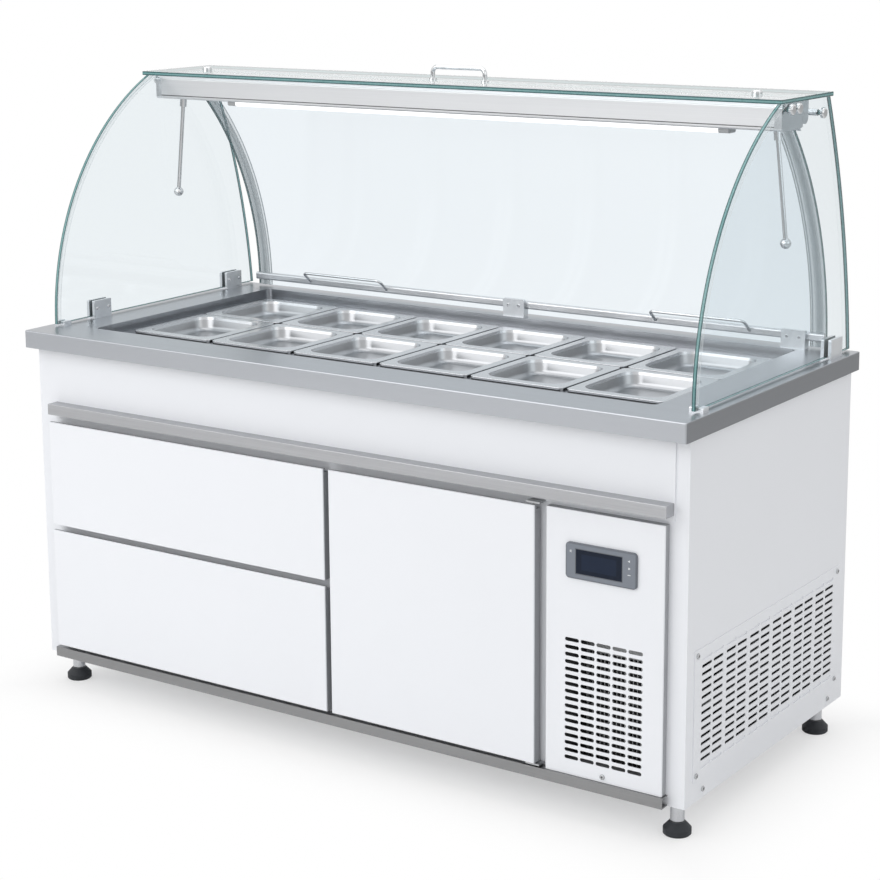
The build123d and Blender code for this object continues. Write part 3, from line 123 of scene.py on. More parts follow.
class SteelLook(bpy.types.PropertyGroup):
    """Bare steel of the worktop, the pans and the trim."""

    worktop: shade("Worktop", "Brushed worktop", (0.40, 0.415, 0.44))
    # Partly painted shade: the deck is set dark so that the gaps between the pans read as shade.
    deck: shade("Deck", "Sheet that carries the pans", (0.30, 0.31, 0.33))
    pan: shade("Pans", "Satin steel of the pans", (0.45, 0.46, 0.475))
    trim: shade("Trim", "Handle strip, drawer boxes and shelf", (0.46, 0.465, 0.48))
    base: shade("Base", "Base rail", (0.31, 0.31, 0.313))
    zinc: shade("Zinc", "Plated runners, slides and hinges", (0.50, 0.51, 0.52))
    brush_pitch: length("Brush pitch", "Spacing of the fine brushing lines", 0.0011)


class GlassLook(bpy.types.PropertyGroup):
    """Panes of the canopy."""

    end_tint: shade("End tint", "Light that passes one face of an end pane", (0.930, 0.955, 0.967))
    tint: shade("Tint", "Light that passes one face of the top pane", (0.955, 0.972, 0.980))
    rear_tint: shade("Rear tint", "Light that passes one face of the rear pane", (0.928, 0.953, 0.970))
    edge: shade("Edge", "Ground edge of a pane", (0.022, 0.095, 0.098))
    edge_light: shade("Edge light", "Light caught in the middle of an edge", (0.17, 0.37, 0.37))
    edge_band: length("Edge band", "Chamfer seen as part of the edge", 0.0009)
    # Painted highlight: pale band and line inside the curved front edge of an end pane, standing in for
    # light caught in that edge.
    painted_glint_band: length("Bevel band", "Bright band inside the front edge of an end pane", 0.010)
    front_arc: length("Front arc", "Radius of the front edge of an end pane", 0.5392)
    # The end band is a grey colour laid on the rear pane along each end, with a greyer line at its start
    # and a grey stripe further in.
    end_band: length("End band", "Ground band along each end of the rear pane", 0.032)
    end_grey: shade("End grey", "Colour of that band", (0.30, 0.35, 0.37))
    packing: shade("Packing", "Rubber between a clamp and its pane", (0.26, 0.29, 0.30))


class FittingLook(bpy.types.PropertyGroup):
    """Chrome, aluminium and the screws of the canopy."""

    chrome: shade("Chrome", "Polished bolts and handles", (0.66, 0.67, 0.68))
    satin: shade("Satin", "Clamps, rests and the light bar's end caps", (0.74, 0.76, 0.78))
    aluminium: shade("Aluminium", "Light bar and the rails of the rear pane", (0.65, 0.66, 0.675))
    lamp: shade("Lamp", "Light of the lamp", (1.0, 1.0, 0.99))
    lamp_end: length("Lamp end", "Unlit length at each end of the lamp", 0.022)
    screw_radius: length("Screw radius", "Head of a clamp screw", 0.0031)
    screw_rise: length("Screw rise", "Height of a clamp screw's head", 0.0016)
    screw_spread: length("Screw spread", "Distance between the two screws of a clamp", 0.034)
    clamp_plate: length("Clamp plate", "Plate of a clamp and its play, measured from the pane", 0.0067)
    clamp_length: length("Clamp length", "Clamp measured along its pane", 0.050)
    clamp_front: length("Front clamp", "Its middle from the pane's front corner", 0.127)
    clamp_rear: length("Rear clamp", "Its middle from the pane's rear corner", 0.075)


class ControlLook(bpy.types.PropertyGroup):
    """Controller on the machine-bay panel."""

    bezel: shade("Bezel", "Grey plastic frame", (0.195, 0.215, 0.25))
    window: shade("Window", "Dark display window", (0.0055, 0.010, 0.022))
    mark: shade("Marks", "Printed key marks", (0.78, 0.80, 0.82))
    mark_size: length("Mark size", "Radius of a key mark", 0.0026)
    mark_rise: length("Mark rise", "Thickness of a printed mark", 0.00015)


class MachineLook(bpy.types.PropertyGroup):
    """Cooling machine and the feet."""

    enamel: shade("Black enamel", "Compressor shell and motor", (0.022, 0.023, 0.025))
    fins: shade("Fins", "Aluminium fins", (0.52, 0.53, 0.54))
    blade: shade("Fan", "Plastic fan", (0.035, 0.036, 0.039))
    foot: shade("Foot", "Rubber of the feet", (0.022, 0.025, 0.030))
    leg: shade("Leg", "Bright leg tubes", (0.62, 0.63, 0.65))


class StageLook(bpy.types.PropertyGroup):
    """Floor, lamps and camera."""

    floor: shade("Floor", "Pale floor", (0.93, 0.93, 0.93))
    floor_half: length("Floor half", "Half the side of the floor", 60.0)
    key: power("Key", "Large soft lamp at the front left", 100.0)
    fill: power("Fill", "Soft lamp at the right", 12.0)
    top: power("Top", "Soft lamp overhead", 62.0)
    ambient: FloatProperty(name="Ambient", description="Even light from all round", default=0.55, min=0.0)
    camera_x: length("Camera X", "Place of the camera", 2.3118)
    camera_y: length("Camera Y", "Place of the camera", -3.3493)
    camera_z: length("Camera Z", "Place of the camera", 1.5540)
    yaw: turn("Yaw", "Turn of the camera to the left of the front", 34.317)
    pitch: turn("Pitch", "Camera's look downward", 11.489)
    roll: turn("Roll", "Camera's lean", -0.368)
    lens: FloatProperty(name="Lens", description="Focal length in millimetres", default=86.8, min=1.0)
    shift: FloatProperty(name="Shift", description="Upward shift of the lens", default=-0.10)


class Field:
    """A number that varies over a surface; working with it adds Math nodes."""

    def __init__(self, finish, socket):
        self.finish = finish
        self.socket = socket

    def __add__(self, other):
        return self.finish.math("ADD", self, other)

    __radd__ = __add__

    def __mul__(self, other):
        return self.finish.math("MULTIPLY", self, other)

    __rmul__ = __mul__

    def __sub__(self, other):
        return self.finish.math("SUBTRACT", self, other)

    def __rsub__(self, other):
        return self.finish.math("SUBTRACT", other, self)

    def __truediv__(self, other):
        return self.finish.math("DIVIDE", self, other)

    def __rtruediv__(self, other):
        return self.finish.math("DIVIDE", other, self)

    def __pow__(self, other):
        return self.finish.math("POWER", self, other)

    def __rpow__(self, other):
        return self.finish.math("POWER", other, self)

    def __or__(self, other):
        return self.finish.math("MAXIMUM", self, other)

    __ror__ = __or__

    def __abs__(self):
        return self.finish.math("ABSOLUTE", self)

    def rise(self, low, high):
        """0 below low, 1 above high, eased between; the other way round where low is the larger."""
        node = self.finish.node("ShaderNodeMapRange", {"interpolation_type": "SMOOTHSTEP"},
                                {"Value": self, "From Min": low, "From Max": high})
        return Field(self.finish, node.outputs["Result"])

    def within(self, low, high, ease):
        """1 between two values, eased to 0 outside them."""
        return self.rise(low - ease, low) * self.rise(high + ease, high)


class Finish:
    """A material or world that is being put together from nodes."""

    def __init__(self, owner, coordinates="Object"):
        owner.use_nodes = True
        self.owner = owner
        self.tree = owner.node_tree
        self.tree.nodes.clear()
        self.place = self.node("ShaderNodeTexCoord").outputs[coordinates]
        parts = self.node("ShaderNodeSeparateXYZ", {}, {"Vector": self.place}).outputs
        self.x, self.y, self.z = [Field(self, part) for part in parts]

    def node(self, kind, settings=None, sockets=None):
        """Adds a node; its settings come first, then the values or links of its sockets."""
        node = self.tree.nodes.new(kind)
        for name, value in (settings or {}).items():
            setattr(node, name, value)
        for key, value in (sockets or {}).items():
            socket = node.inputs[key]
            source = value.socket if isinstance(value, Field) else value
            if isinstance(source, bpy.types.NodeSocket):
                self.tree.links.new(socket, source)
            elif socket.type == "RGBA":
                socket.default_value = (*source, 1.0)
            else:
                socket.default_value = source
        return node

    def math(self, operation, *values):
        """A Math node on numbers and fields."""
        node = self.node("ShaderNodeMath", {"operation": operation}, dict(enumerate(values)))
        return Field(self, node.outputs[0])

    def mix(self, factor, low, high):
        """A colour between two colours."""
        node = self.node("ShaderNodeMix", {"data_type": "RGBA"}, {0: factor, 6: low, 7: high})
        return node.outputs[2]

    def noise(self, scale, detail=2.0, stretch=(1.0, 1.0, 1.0)):
        """Noise over the object's own coordinates, pulled out along an axis by a small stretch."""
        vector = self.node("ShaderNodeVectorMath", {"operation": "MULTIPLY"}, {0: self.place, 1: stretch})
        node = self.node("ShaderNodeTexNoise", {},
                         {"Vector": vector.outputs[0], "Scale": scale, "Detail": detail})
        return Field(self, node.outputs["Fac"])

    def bump(self, height, strength, distance):
        """A normal that follows a height."""
        return self.node("ShaderNodeBump", {}, {"Height": height, "Strength": strength,
                                                "Distance": distance}).outputs["Normal"]

    def surface(self, **sockets):
        """A Principled shader; an underscore in a name stands for a space."""
        named = {name.replace("_", " "): value for name, value in sockets.items()}
        return self.node("ShaderNodeBsdfPrincipled", {}, named).outputs[0]

    def join(self, factor, low, high):
        """A shader between two shaders."""
        return self.node("ShaderNodeMixShader", {}, {0: factor, 1: low, 2: high}).outputs[0]

    def done(self, shader, output="ShaderNodeOutputMaterial"):
        """Connects the output and returns the material or world."""
        self.node(output, {}, {"Surface": shader})
        return self.owner


def new_finish(name):
    """An empty material to put together."""
    return Finish(bpy.data.materials.new(name))


def scaled(colour, amount):
    """A colour made lighter or darker."""
    return tuple(min(1.0, part * amount) for part in colour)


def dress(material, *names):
    """Puts one finish on CAD nodes."""
    for name in names:
        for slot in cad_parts[name].material_slots:
            slot.material = material


def new_piece(name, shape, material):
    """Makes a finished piece of a bmesh and lets it ride on the cabinet."""
    bmesh.ops.remove_doubles(shape, verts=shape.verts, dist=1e-6)
    bmesh.ops.recalc_face_normals(shape, faces=shape.faces)
    mesh = bpy.data.meshes.new(name)
    shape.to_mesh(mesh)
    shape.free()
    mesh.materials.append(material)
    piece = bpy.data.objects.new(name, mesh)
    bpy.context.collection.objects.link(piece)
    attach(piece, "cabinet")
    return piece


def repeat(shape, places):
    """A bmesh with a copy of a shape at every place; the shape itself is freed."""
    model = bpy.data.meshes.new("pattern")
    shape.to_mesh(model)
    shape.free()
    group = bmesh.new()
    for place in places:
        before = set(group.verts)
        group.from_mesh(model)
        added = [vert for vert in group.verts if vert not in before]
        bmesh.ops.transform(group, matrix=place, verts=added)
    bpy.data.meshes.remove(model)
    return group


# Finishes

def coat_detail(finish, colour):
    """Colour, roughness and normal of sprayed enamel: faint clouding and fine orange peel."""
    cloud = finish.noise(3.0, 3.0)
    peel = finish.noise(420.0, 1.0)
    tone = finish.mix(cloud, scaled(colour, 0.985), scaled(colour, 1.01))
    return tone, 0.30 + 0.08 * cloud, finish.bump(peel, 0.05, 0.0006)


def enamel(name, look):
    """Sprayed white enamel on sheet."""
    finish = new_finish(name)
    tone, rough, normal = coat_detail(finish, look.white)
    return finish.done(finish.surface(Base_Color=tone, Roughness=rough, Normal=normal))


def cabinet_enamel(look):
    """White outside, pale liner in the cold compartments, and unpainted sheet in the machine bay, set dark
    as painted shade.
    """
    finish = new_finish("cabinet_enamel")
    low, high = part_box("cabinet_body")
    bay_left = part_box("machine_panel")[0].x
    inside = (finish.x.within(low.x + SHEET, high.x - SHEET, CRISP)
              * finish.y.within(low.y + SHEET, high.y - SHEET, CRISP)
              * finish.z.within(low.z + SHEET, high.z, CRISP))
    in_bay = finish.x.rise(bay_left, bay_left + 0.004) * inside
    tone, rough, normal = coat_detail(finish, look.white)
    grain = finish.noise(55.0, 3.0)
    lined = finish.mix(inside, tone, look.liner)
    # Painted shade: the bay's unpainted sheet is set dark where the bay lies in shade.
    shaded_bay_sheet = finish.mix(grain, scaled(look.bay, 0.8), scaled(look.bay, 1.3))
    return finish.done(finish.surface(Base_Color=finish.mix(in_bay, lined, shaded_bay_sheet),
                                      Roughness=rough + 0.15 * inside, Normal=normal))


def panel_enamel(look):
    """Machine-bay panel: a white face with grey sides that are partly painted shade, and sheet inside its
    folded edges set dark as painted shade.
    """
    finish = new_finish("bay_panel_enamel")
    low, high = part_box("machine_panel")
    # Painted shade: faces within the panel's folded edges take the dark bay colour.
    within = (finish.x.within(low.x + SHEET, high.x - SHEET, CRISP)
              * finish.y.rise(low.y + SHEET, low.y + SHEET + CRISP)
              * finish.z.within(low.z + SHEET, high.z - SHEET, CRISP))
    tone, rough, normal = coat_detail(finish, look.white)
    # Partly painted shade: grey sides of the panel, set dark like the shade beside it.
    sides = finish.y.rise(low.y + look.face_band, low.y + look.face_band + SOFT)
    tone = finish.mix(sides, tone, look.edging_and_shade)
    return finish.done(finish.surface(Base_Color=finish.mix(within, tone, look.bay),
                                      Roughness=rough, Normal=normal))


def front_enamel(look):
    """Drawer and door fronts: a white face in a grey profile that shows along the sides and the lip; the
    grey is partly painted shade of the gaps between fronts.
    """
    finish = new_finish("front_enamel")
    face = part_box("door_panel")[0].y
    tone, rough, normal = coat_detail(finish, look.white)
    # Partly painted shade: the grey profile also stands in for the shade in the gaps between fronts.
    profile = finish.y.rise(face + look.face_band, face + look.face_band + SOFT)
    line = finish.noise(300.0, 2.0, (0.03, 1.0, 0.03))
    edging_and_shade = finish.mix(line, scaled(look.edging_and_shade, 0.92), scaled(look.edging_and_shade, 1.06))
    return finish.done(finish.surface(Base_Color=finish.mix(profile, tone, edging_and_shade),
                                      Roughness=rough + 0.1 * profile, Normal=normal))


def seal_rubber(look):
    """Soft grey rubber with fine ribs across the seal."""
    finish = new_finish("seal_rubber")
    rib_rate = 3800.0
    ribs = finish.math("SINE", finish.y * rib_rate)
    dust = finish.noise(40.0, 3.0)
    tone = finish.mix(dust, scaled(look.seal, 0.85), scaled(look.seal, 1.25))
    return finish.done(finish.surface(Base_Color=tone, Roughness=0.62 + 0.12 * dust,
                                      Normal=finish.bump(ribs, 0.25, 0.0004)))


def brush_detail(finish, colour, along, pitch, rough, contrast):
    """Colour, roughness and normal of brushed steel: fine lines, longer bands and faint clouding."""
    fine_stretch = [1.0, 1.0, 1.0]
    band_stretch = [1.0, 1.0, 1.0]
    fine_stretch[along] = 0.006
    band_stretch[along] = 0.03
    fine = finish.noise(1.0 / pitch, 2.0, fine_stretch)
    bands = finish.noise(70.0, 3.0, band_stretch)
    cloud = finish.noise(2.2, 2.0)
    level = 0.5 * fine + 0.3 * bands + 0.2 * cloud
    tone = finish.mix(level.rise(0.3, 0.7), scaled(colour, 1.0 - contrast), scaled(colour, 1.0 + contrast))
    return tone, rough - 0.05 + 0.14 * level, finish.bump(fine, 0.10, 0.0003)


def brushed(name, colour, along, pitch, rough, contrast):
    """Steel brushed along one axis."""
    finish = new_finish(name)
    tone, roughness, normal = brush_detail(finish, colour, along, pitch, rough, contrast)
    return finish.done(finish.surface(Base_Color=tone, Metallic=1.0, Roughness=roughness, Normal=normal))


def worktop_steel(look):
    """Brushed worktop with a painted highlight along its front edge and painted shade on its two ends."""
    finish = new_finish("worktop_steel")
    low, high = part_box("countertop")
    tone, roughness, normal = brush_detail(finish, look.worktop, 0, look.brush_pitch, 0.30, 0.07)
    border = 0.0004
    front = finish.y.rise(low.y + SHEET, low.y + border)
    ends = abs(finish.x).rise(high.x - SHEET, high.x - border)
    # Painted highlight: the front edge is set lighter; painted shade: the two end faces are set darker.
    tone = finish.mix(0.8 * front, tone, scaled(look.worktop, 1.25))
    tone = finish.mix(ends, tone, scaled(look.worktop, 0.64))
    return finish.done(finish.surface(Base_Color=tone, Metallic=1.0, Roughness=roughness, Normal=normal))


def beyond_pan_side(finish, along, axis, neighbour):
    """How far a point lies beyond the side of its pan, along one axis; less than 0 within the pan."""
    low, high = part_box("front_pan_1")
    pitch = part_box(neighbour)[0][axis] - low[axis]
    centre = (low[axis] + high[axis]) / 2.0
    share = finish.math("FRACT", (along - centre) / pitch + 0.5)
    return abs(share - 0.5) * pitch - (high[axis] - low[axis]) / 2.0


def pan_steel(look):
    """Satin steel pan: brushed rim set lighter as a painted highlight, a painted shadow at the foot of its
    lip, walls set darker than the floor as painted shade, drawing lines and a softer floor.
    """
    finish = new_finish("pan_steel")
    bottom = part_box("front_pan_1")[0].z
    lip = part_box("pan_deck")[1].z
    side_start, side_end = -0.0016, -0.0010
    lip_shadow_start, lip_shadow_end = 0.0022, 0.0014
    floor_start, floor_end = 0.010, 0.003
    outer = (beyond_pan_side(finish, finish.x, 0, "front_pan_2").rise(side_start, side_end)
             | beyond_pan_side(finish, finish.y, 1, "rear_pan_1").rise(side_start, side_end))
    rim = finish.z.rise(lip, lip + 0.0010)
    # Painted shadow: a band at the foot of the lip, outside the pan's mouth.
    painted_lip_shadow = outer * finish.z.rise(lip + lip_shadow_start, lip + lip_shadow_end)
    floor = finish.z.rise(bottom + floor_start, bottom + floor_end)
    lines = finish.noise(900.0, 2.0, (1.0, 1.0, 0.01))
    brush = finish.noise(800.0, 2.0, (0.01, 1.0, 1.0))
    cloud = finish.noise(7.0, 2.0)
    # Painted shade: the walls are set darker than the floor.
    wall = finish.mix(lines, scaled(look.pan, 0.86), scaled(look.pan, 0.96))
    ground = finish.mix(cloud, scaled(look.pan, 0.98), scaled(look.pan, 1.06))
    # Painted highlight: the rim is set lighter than the walls and the floor.
    edge = finish.mix(brush, scaled(look.pan, 1.16), scaled(look.pan, 1.28))
    tone = finish.mix(rim, finish.mix(floor, wall, ground), edge)
    # Painted shadow: near-black at the foot of the lip.
    tone = finish.mix(painted_lip_shadow, tone, scaled(look.pan, 0.12))
    rough = 0.26 + 0.05 * cloud + 0.05 * floor - 0.04 * rim
    return finish.done(finish.surface(Base_Color=tone, Metallic=1.0, Roughness=rough,
                                      Normal=finish.bump(lines, 0.03, 0.0003)))


def top_pane(look):
    """Flat top pane with a ground green edge."""
    finish = new_finish("top_glass")
    low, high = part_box("top_glass")
    edge, middle = slab_edge(finish.z, low.z, high.z, look.edge_band)
    return finish.done(glazed(finish, look, look.tint, edge, middle, 0.02))


def rear_pane(look):
    """Curved rear pane with a grey band along its two ends."""
    finish = new_finish("rear_glass")
    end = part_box("rear_glass")[1].x
    out = abs(finish.x)
    edge = out.rise(end - look.edge_band, end - 0.0001)
    start = end - look.end_band
    band = out.rise(start - 0.0005, start)
    line_width = 0.0022
    core_start, core_end, core_ease = 0.012, 0.022, 0.004
    line = out.within(start, start + line_width, SOFT)
    core = out.within(start + core_start, start + core_end, core_ease)
    grind = finish.noise(160.0, 3.0)
    grey = finish.mix(grind, scaled(look.end_grey, 0.92), look.end_grey)
    veil = finish.surface(Base_Color=grey, Roughness=0.4)
    pane = glazed(finish, look, look.rear_tint, edge, finish.noise(90.0, 2.0), 0.010)
    share = 0.28 * band | 0.80 * line | 0.60 * core
    return finish.done(finish.join(share * (1.0 - edge), pane, veil))


def end_pane(name, side, look, fittings):
    """End pane: as the top one, with a painted highlight band and line along its curved front, and packing
    in its clamps.
    """
    finish = new_finish(name)
    low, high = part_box(name)
    edge, middle = slab_edge(finish.x, low.x, high.x, look.edge_band)
    centre_y = low.y + look.front_arc
    reach = finish.math("SQRT", (finish.y - centre_y) ** 2.0 + (finish.z - low.z) ** 2.0)
    depth = look.front_arc - reach
    # Painted highlight: a pale veil along the curved front edge stands in for light caught there.
    band = depth.within(-0.002, look.painted_glint_band, 0.0008)
    line = depth.within(look.painted_glint_band - 0.0008, look.painted_glint_band + 0.0006, 0.0006)
    veil = finish.surface(Base_Color=(0.84, 0.91, 0.93), Roughness=0.25)
    pane = glazed(finish, look, look.end_tint, edge, middle, 0.03)
    pane = finish.join((0.22 * band | 0.6 * line) * (1.0 - edge), pane, veil)
    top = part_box("glass_clamps")[1].z
    half = fittings.clamp_length / 2.0
    held = 0.0
    for clamp_side, y in clamp_places(fittings):
        if clamp_side == side:
            held = finish.y.within(y - half, y + half, 0.0004) | held
    grain = finish.noise(300.0, 2.0)
    tone = finish.mix(grain, scaled(look.packing, 0.8), look.packing)
    rubber = finish.surface(Base_Color=tone, Roughness=0.6)
    return finish.done(finish.join(held * finish.z.rise(top, top - 0.0004), pane, rubber))


def glazed(finish, look, tint, edge, middle, shine):
    """Shader of a pane: clear and glossy on its faces, ground green on its edges."""
    facing = Field(finish, finish.node("ShaderNodeLayerWeight", {}, {"Blend": 0.5}).outputs["Facing"])
    smear = finish.noise(5.0, 3.0)
    gloss = shine + 0.85 * facing ** 5.0
    clear = finish.node("ShaderNodeBsdfTransparent", {}, {"Color": tint}).outputs[0]
    sheen = finish.surface(Base_Color=(0.95, 0.97, 0.975), Metallic=1.0, Roughness=0.02 + 0.02 * smear)
    face = finish.join(gloss, clear, sheen)
    grind = finish.noise(240.0, 3.0)
    light = (middle * (0.55 + 0.6 * grind)).rise(0.25, 0.95)
    ground = finish.surface(Base_Color=finish.mix(light, look.edge, look.edge_light),
                            Roughness=0.14 + 0.2 * grind, IOR=1.52)
    return finish.join(0.94 * edge, face, ground)


def slab_edge(across, low, high, band):
    """Edge mask of a flat pane, everything between its two faces, and its mid-line."""
    depth = abs(across - (low + high) / 2.0)
    half = (high - low) / 2.0
    return depth.rise(half - 0.0001, half - 0.0003), depth.rise(half - band, half * 0.15)


def bar_aluminium(look):
    """Satin aluminium profile drawn along its length, with painted shade in its groove."""
    finish = new_finish("bar_aluminium")
    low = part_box("light_bar")[0]
    lines = finish.noise(900.0, 2.0, (0.004, 1.0, 1.0))
    cloud = finish.noise(2.5, 2.0)
    sunk = finish.y.rise(low.y + 0.0003, low.y + 0.0008) * finish.y.rise(low.y + 0.004, low.y + 0.003)
    groove_low, groove_high = 0.0055, 0.0085
    flat = finish.z.within(low.z + groove_low, low.z + groove_high, 0.0004)
    groove = sunk * flat
    tone = finish.mix(lines, scaled(look.aluminium, 0.95), scaled(look.aluminium, 1.06))
    # Painted shade: the groove is set darker.
    tone = finish.mix(groove, tone, scaled(look.aluminium, 0.25))
    return finish.done(finish.surface(Base_Color=tone, Metallic=0.85, Roughness=0.30 + 0.10 * cloud,
                                      Normal=finish.bump(lines, 0.06, 0.0003)))


def lamp_cover(look):
    """Milky lamp cover, lit between two grey ends."""
    finish = new_finish("lamp_cover")
    low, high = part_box("led_lamp")
    lit = finish.x.within(low.x + look.lamp_end, high.x - look.lamp_end, 0.003)
    dot_rate = 420.0
    dots = finish.math("SINE", finish.x * dot_rate)
    glow = finish.mix(0.5 + 0.5 * dots, scaled(look.lamp, 0.97), look.lamp)
    base = finish.mix(lit, (0.42, 0.43, 0.44), (0.80, 0.80, 0.80))
    return finish.done(finish.surface(Base_Color=base, Roughness=0.35 + 0.1 * lit,
                                      Emission_Color=finish.mix(lit, (0.0, 0.0, 0.0), glow),
                                      Emission_Strength=0.9))


def polished(name, colour, rough):
    """Polished metal with faint fingermarks and hairline scratches."""
    finish = new_finish(name)
    smudge = finish.noise(60.0, 4.0)
    hair = finish.noise(1500.0, 1.0, (0.05, 1.0, 1.0))
    tone = finish.mix(smudge, scaled(colour, 0.93), scaled(colour, 1.06))
    return finish.done(finish.surface(Base_Color=tone, Metallic=1.0,
                                      Roughness=rough + 0.10 * smudge.rise(0.45, 0.8),
                                      Normal=finish.bump(hair, 0.03, 0.0002)))


def grained(name, colour, rough, grain, metal=0.0):
    """Moulded or painted surface with a fine even grain."""
    finish = new_finish(name)
    fine = finish.noise(1.0 / grain, 2.0)
    cloud = finish.noise(9.0, 3.0)
    tone = finish.mix(0.5 * fine + 0.5 * cloud, scaled(colour, 0.82), scaled(colour, 1.2))
    return finish.done(finish.surface(Base_Color=tone, Metallic=metal, Roughness=rough + 0.12 * cloud,
                                      Normal=finish.bump(fine, 0.12, 0.0003)))


def bezel_plastic(look):
    """Grey moulded frame, a little darker round its rim and at its window."""
    finish = new_finish("bezel_plastic")
    low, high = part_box("controller_bezel")
    hole_low, hole_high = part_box("controller_display")
    fine = finish.noise(1400.0, 2.0)
    edge, edge_ease = 0.003, 0.0012
    around, around_ease = 0.0014, 0.0004
    rim = 1.0 - (finish.x.within(low.x + edge, high.x - edge, edge_ease)
                 * finish.z.within(low.z + edge, high.z - edge, edge_ease))
    lip = (finish.x.within(hole_low.x - around, hole_high.x + around, around_ease)
           * finish.z.within(hole_low.z - around, hole_high.z + around, around_ease))
    tone = finish.mix(fine, scaled(look.bezel, 0.94), scaled(look.bezel, 1.08))
    tone = finish.mix(0.45 * rim | 0.75 * lip, tone, scaled(look.bezel, 0.35))
    return finish.done(finish.surface(Base_Color=tone, Roughness=0.40 + 0.1 * fine,
                                      Normal=finish.bump(fine, 0.08, 0.0002)))


def window_plastic(look):
    """Blue-black window, a little lighter over the display behind it."""
    finish = new_finish("window_plastic")
    low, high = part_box("controller_display")
    side, brim = 0.011, 0.0075
    inner = (finish.x.within(low.x + side, high.x - side, SOFT)
             * finish.z.within(low.z + brim, high.z - brim, SOFT))
    smear = finish.noise(80.0, 3.0)
    tone = finish.mix(0.85 * inner, look.window, scaled(look.window, 1.9))
    tone = finish.mix(0.2 * smear, tone, scaled(look.window, 3.0))
    return finish.done(finish.surface(Base_Color=tone, Roughness=0.10 + 0.12 * smear,
                                      Specular_IOR_Level=0.2))


def foot_rubber(look):
    """Black rubber pad with a plated stem above it."""
    finish = new_finish("foot_rubber")
    pad_top = 0.0238
    stem = finish.z.rise(pad_top, pad_top + SOFT)
    fine = finish.noise(700.0, 3.0)
    dust = finish.noise(35.0, 3.0).rise(0.45, 0.8) * finish.z.rise(0.012, 0.0)
    rubber = finish.mix(dust, look.foot, scaled(look.foot, 2.2))
    thread_rate = 4200.0
    thread = finish.math("SINE", finish.z * thread_rate)
    tone = finish.mix(stem, rubber, (0.50, 0.51, 0.52))
    return finish.done(finish.surface(Base_Color=tone, Metallic=stem,
                                      Roughness=0.55 - 0.25 * stem + 0.12 * fine,
                                      Normal=finish.bump(fine + 2.0 * stem * thread, 0.12, 0.0003)))


def finned(name, node, look):
    """Aluminium fins, with painted shade toward the back of their gaps."""
    finish = new_finish(name)
    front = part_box(node)[0].y
    shade_start, shade_end = 0.001, 0.02
    depth = finish.y.rise(front + shade_start, front + shade_end)
    fine = finish.noise(500.0, 2.0, (1.0, 1.0, 0.05))
    tone = finish.mix(fine, scaled(look.fins, 0.85), scaled(look.fins, 1.1))
    # Painted shade: the fins darken toward the back of their gaps.
    tone = finish.mix(0.7 * depth, tone, scaled(look.fins, 0.22))
    return finish.done(finish.surface(Base_Color=tone, Metallic=0.9, Roughness=0.36 + 0.12 * fine,
                                      Normal=finish.bump(fine, 0.08, 0.0003)))


# Pieces made here

def socket_screw(radius, rise):
    """A round screw head about Z with a rounded rim and a round socket."""
    rim_share, wall_share, socket_share = 0.4, 0.30, 0.55
    screw = bmesh.new()
    bmesh.ops.create_cone(screw, cap_ends=True, segments=24, radius1=radius, radius2=radius, depth=rise)
    crown = max(screw.faces, key=lambda face: face.calc_center_median().z)
    bmesh.ops.bevel(screw, geom=list(crown.edges), offset=rise * rim_share, offset_type="OFFSET",
                    affect="EDGES", segments=3, profile=0.5, material=-1)
    crown = max(screw.faces, key=lambda face: face.calc_center_median().z)
    bmesh.ops.inset_region(screw, faces=[crown], thickness=radius * wall_share)
    floor = bmesh.ops.extrude_discrete_faces(screw, faces=[crown])["faces"][0]
    bmesh.ops.translate(screw, vec=(0.0, 0.0, -rise * socket_share), verts=floor.verts)
    bmesh.ops.translate(screw, vec=(0.0, 0.0, rise * 0.5), verts=screw.verts)
    return screw


def clamp_places(look):
    """Side and depth of the middle of every clamp; the right pane has no front clamp."""
    low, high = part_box("right_side_glass")
    front = low.y + look.clamp_front
    rear = high.y - look.clamp_rear
    return [(-1.0, front), (-1.0, rear), (1.0, rear)]


def clamp_screw_places(look):
    """Two screws on the inner face of every clamp and on the front of every rest."""
    low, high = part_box("glass_clamps")
    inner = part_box("right_side_glass")[0].x - look.clamp_plate
    height_share = 0.56
    height = low.z + (high.z - low.z) * height_share
    places = []
    for side, middle in clamp_places(look):
        for step in (-0.5, 0.5):
            spot = Matrix.Translation((side * inner, middle + step * look.screw_spread, height))
            places.append(spot @ Matrix.Rotation(-side * math.pi / 2.0, 4, "Y"))
    rest_low, rest_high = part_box("rear_rests")
    rest_half = 0.025
    rest_spread = 0.026
    rest_drop = 0.013
    for middle in (rest_low.x + rest_half, rest_high.x - rest_half):
        for step in (-0.5, 0.5):
            spot = Matrix.Translation((middle + step * rest_spread, rest_low.y, rest_high.z - rest_drop))
            places.append(spot @ Matrix.Rotation(math.pi / 2.0, 4, "X"))
    return places


def painted_cross_shadow(radius, rise):
    """A flat cross about Z, laid on a screw head as painted shade of a cut cross."""
    cross = bmesh.new()
    for angle in (0.0, math.pi / 2.0):
        size = Matrix.Diagonal((2.0 * radius, 0.42 * radius, 1.0, 1.0))
        bmesh.ops.create_grid(cross, x_segments=1, y_segments=1, size=0.5,
                              matrix=Matrix.Rotation(angle, 4, "Z") @ size)
    return thickened(cross, rise)


def thickened(flat, rise):
    """Flat shapes in the XY plane made into thin solids that stand on it."""
    bmesh.ops.solidify(flat, geom=list(flat.faces), thickness=rise)
    lowest = min(vert.co.z for vert in flat.verts)
    bmesh.ops.translate(flat, vec=(0.0, 0.0, -lowest), verts=flat.verts)
    return flat


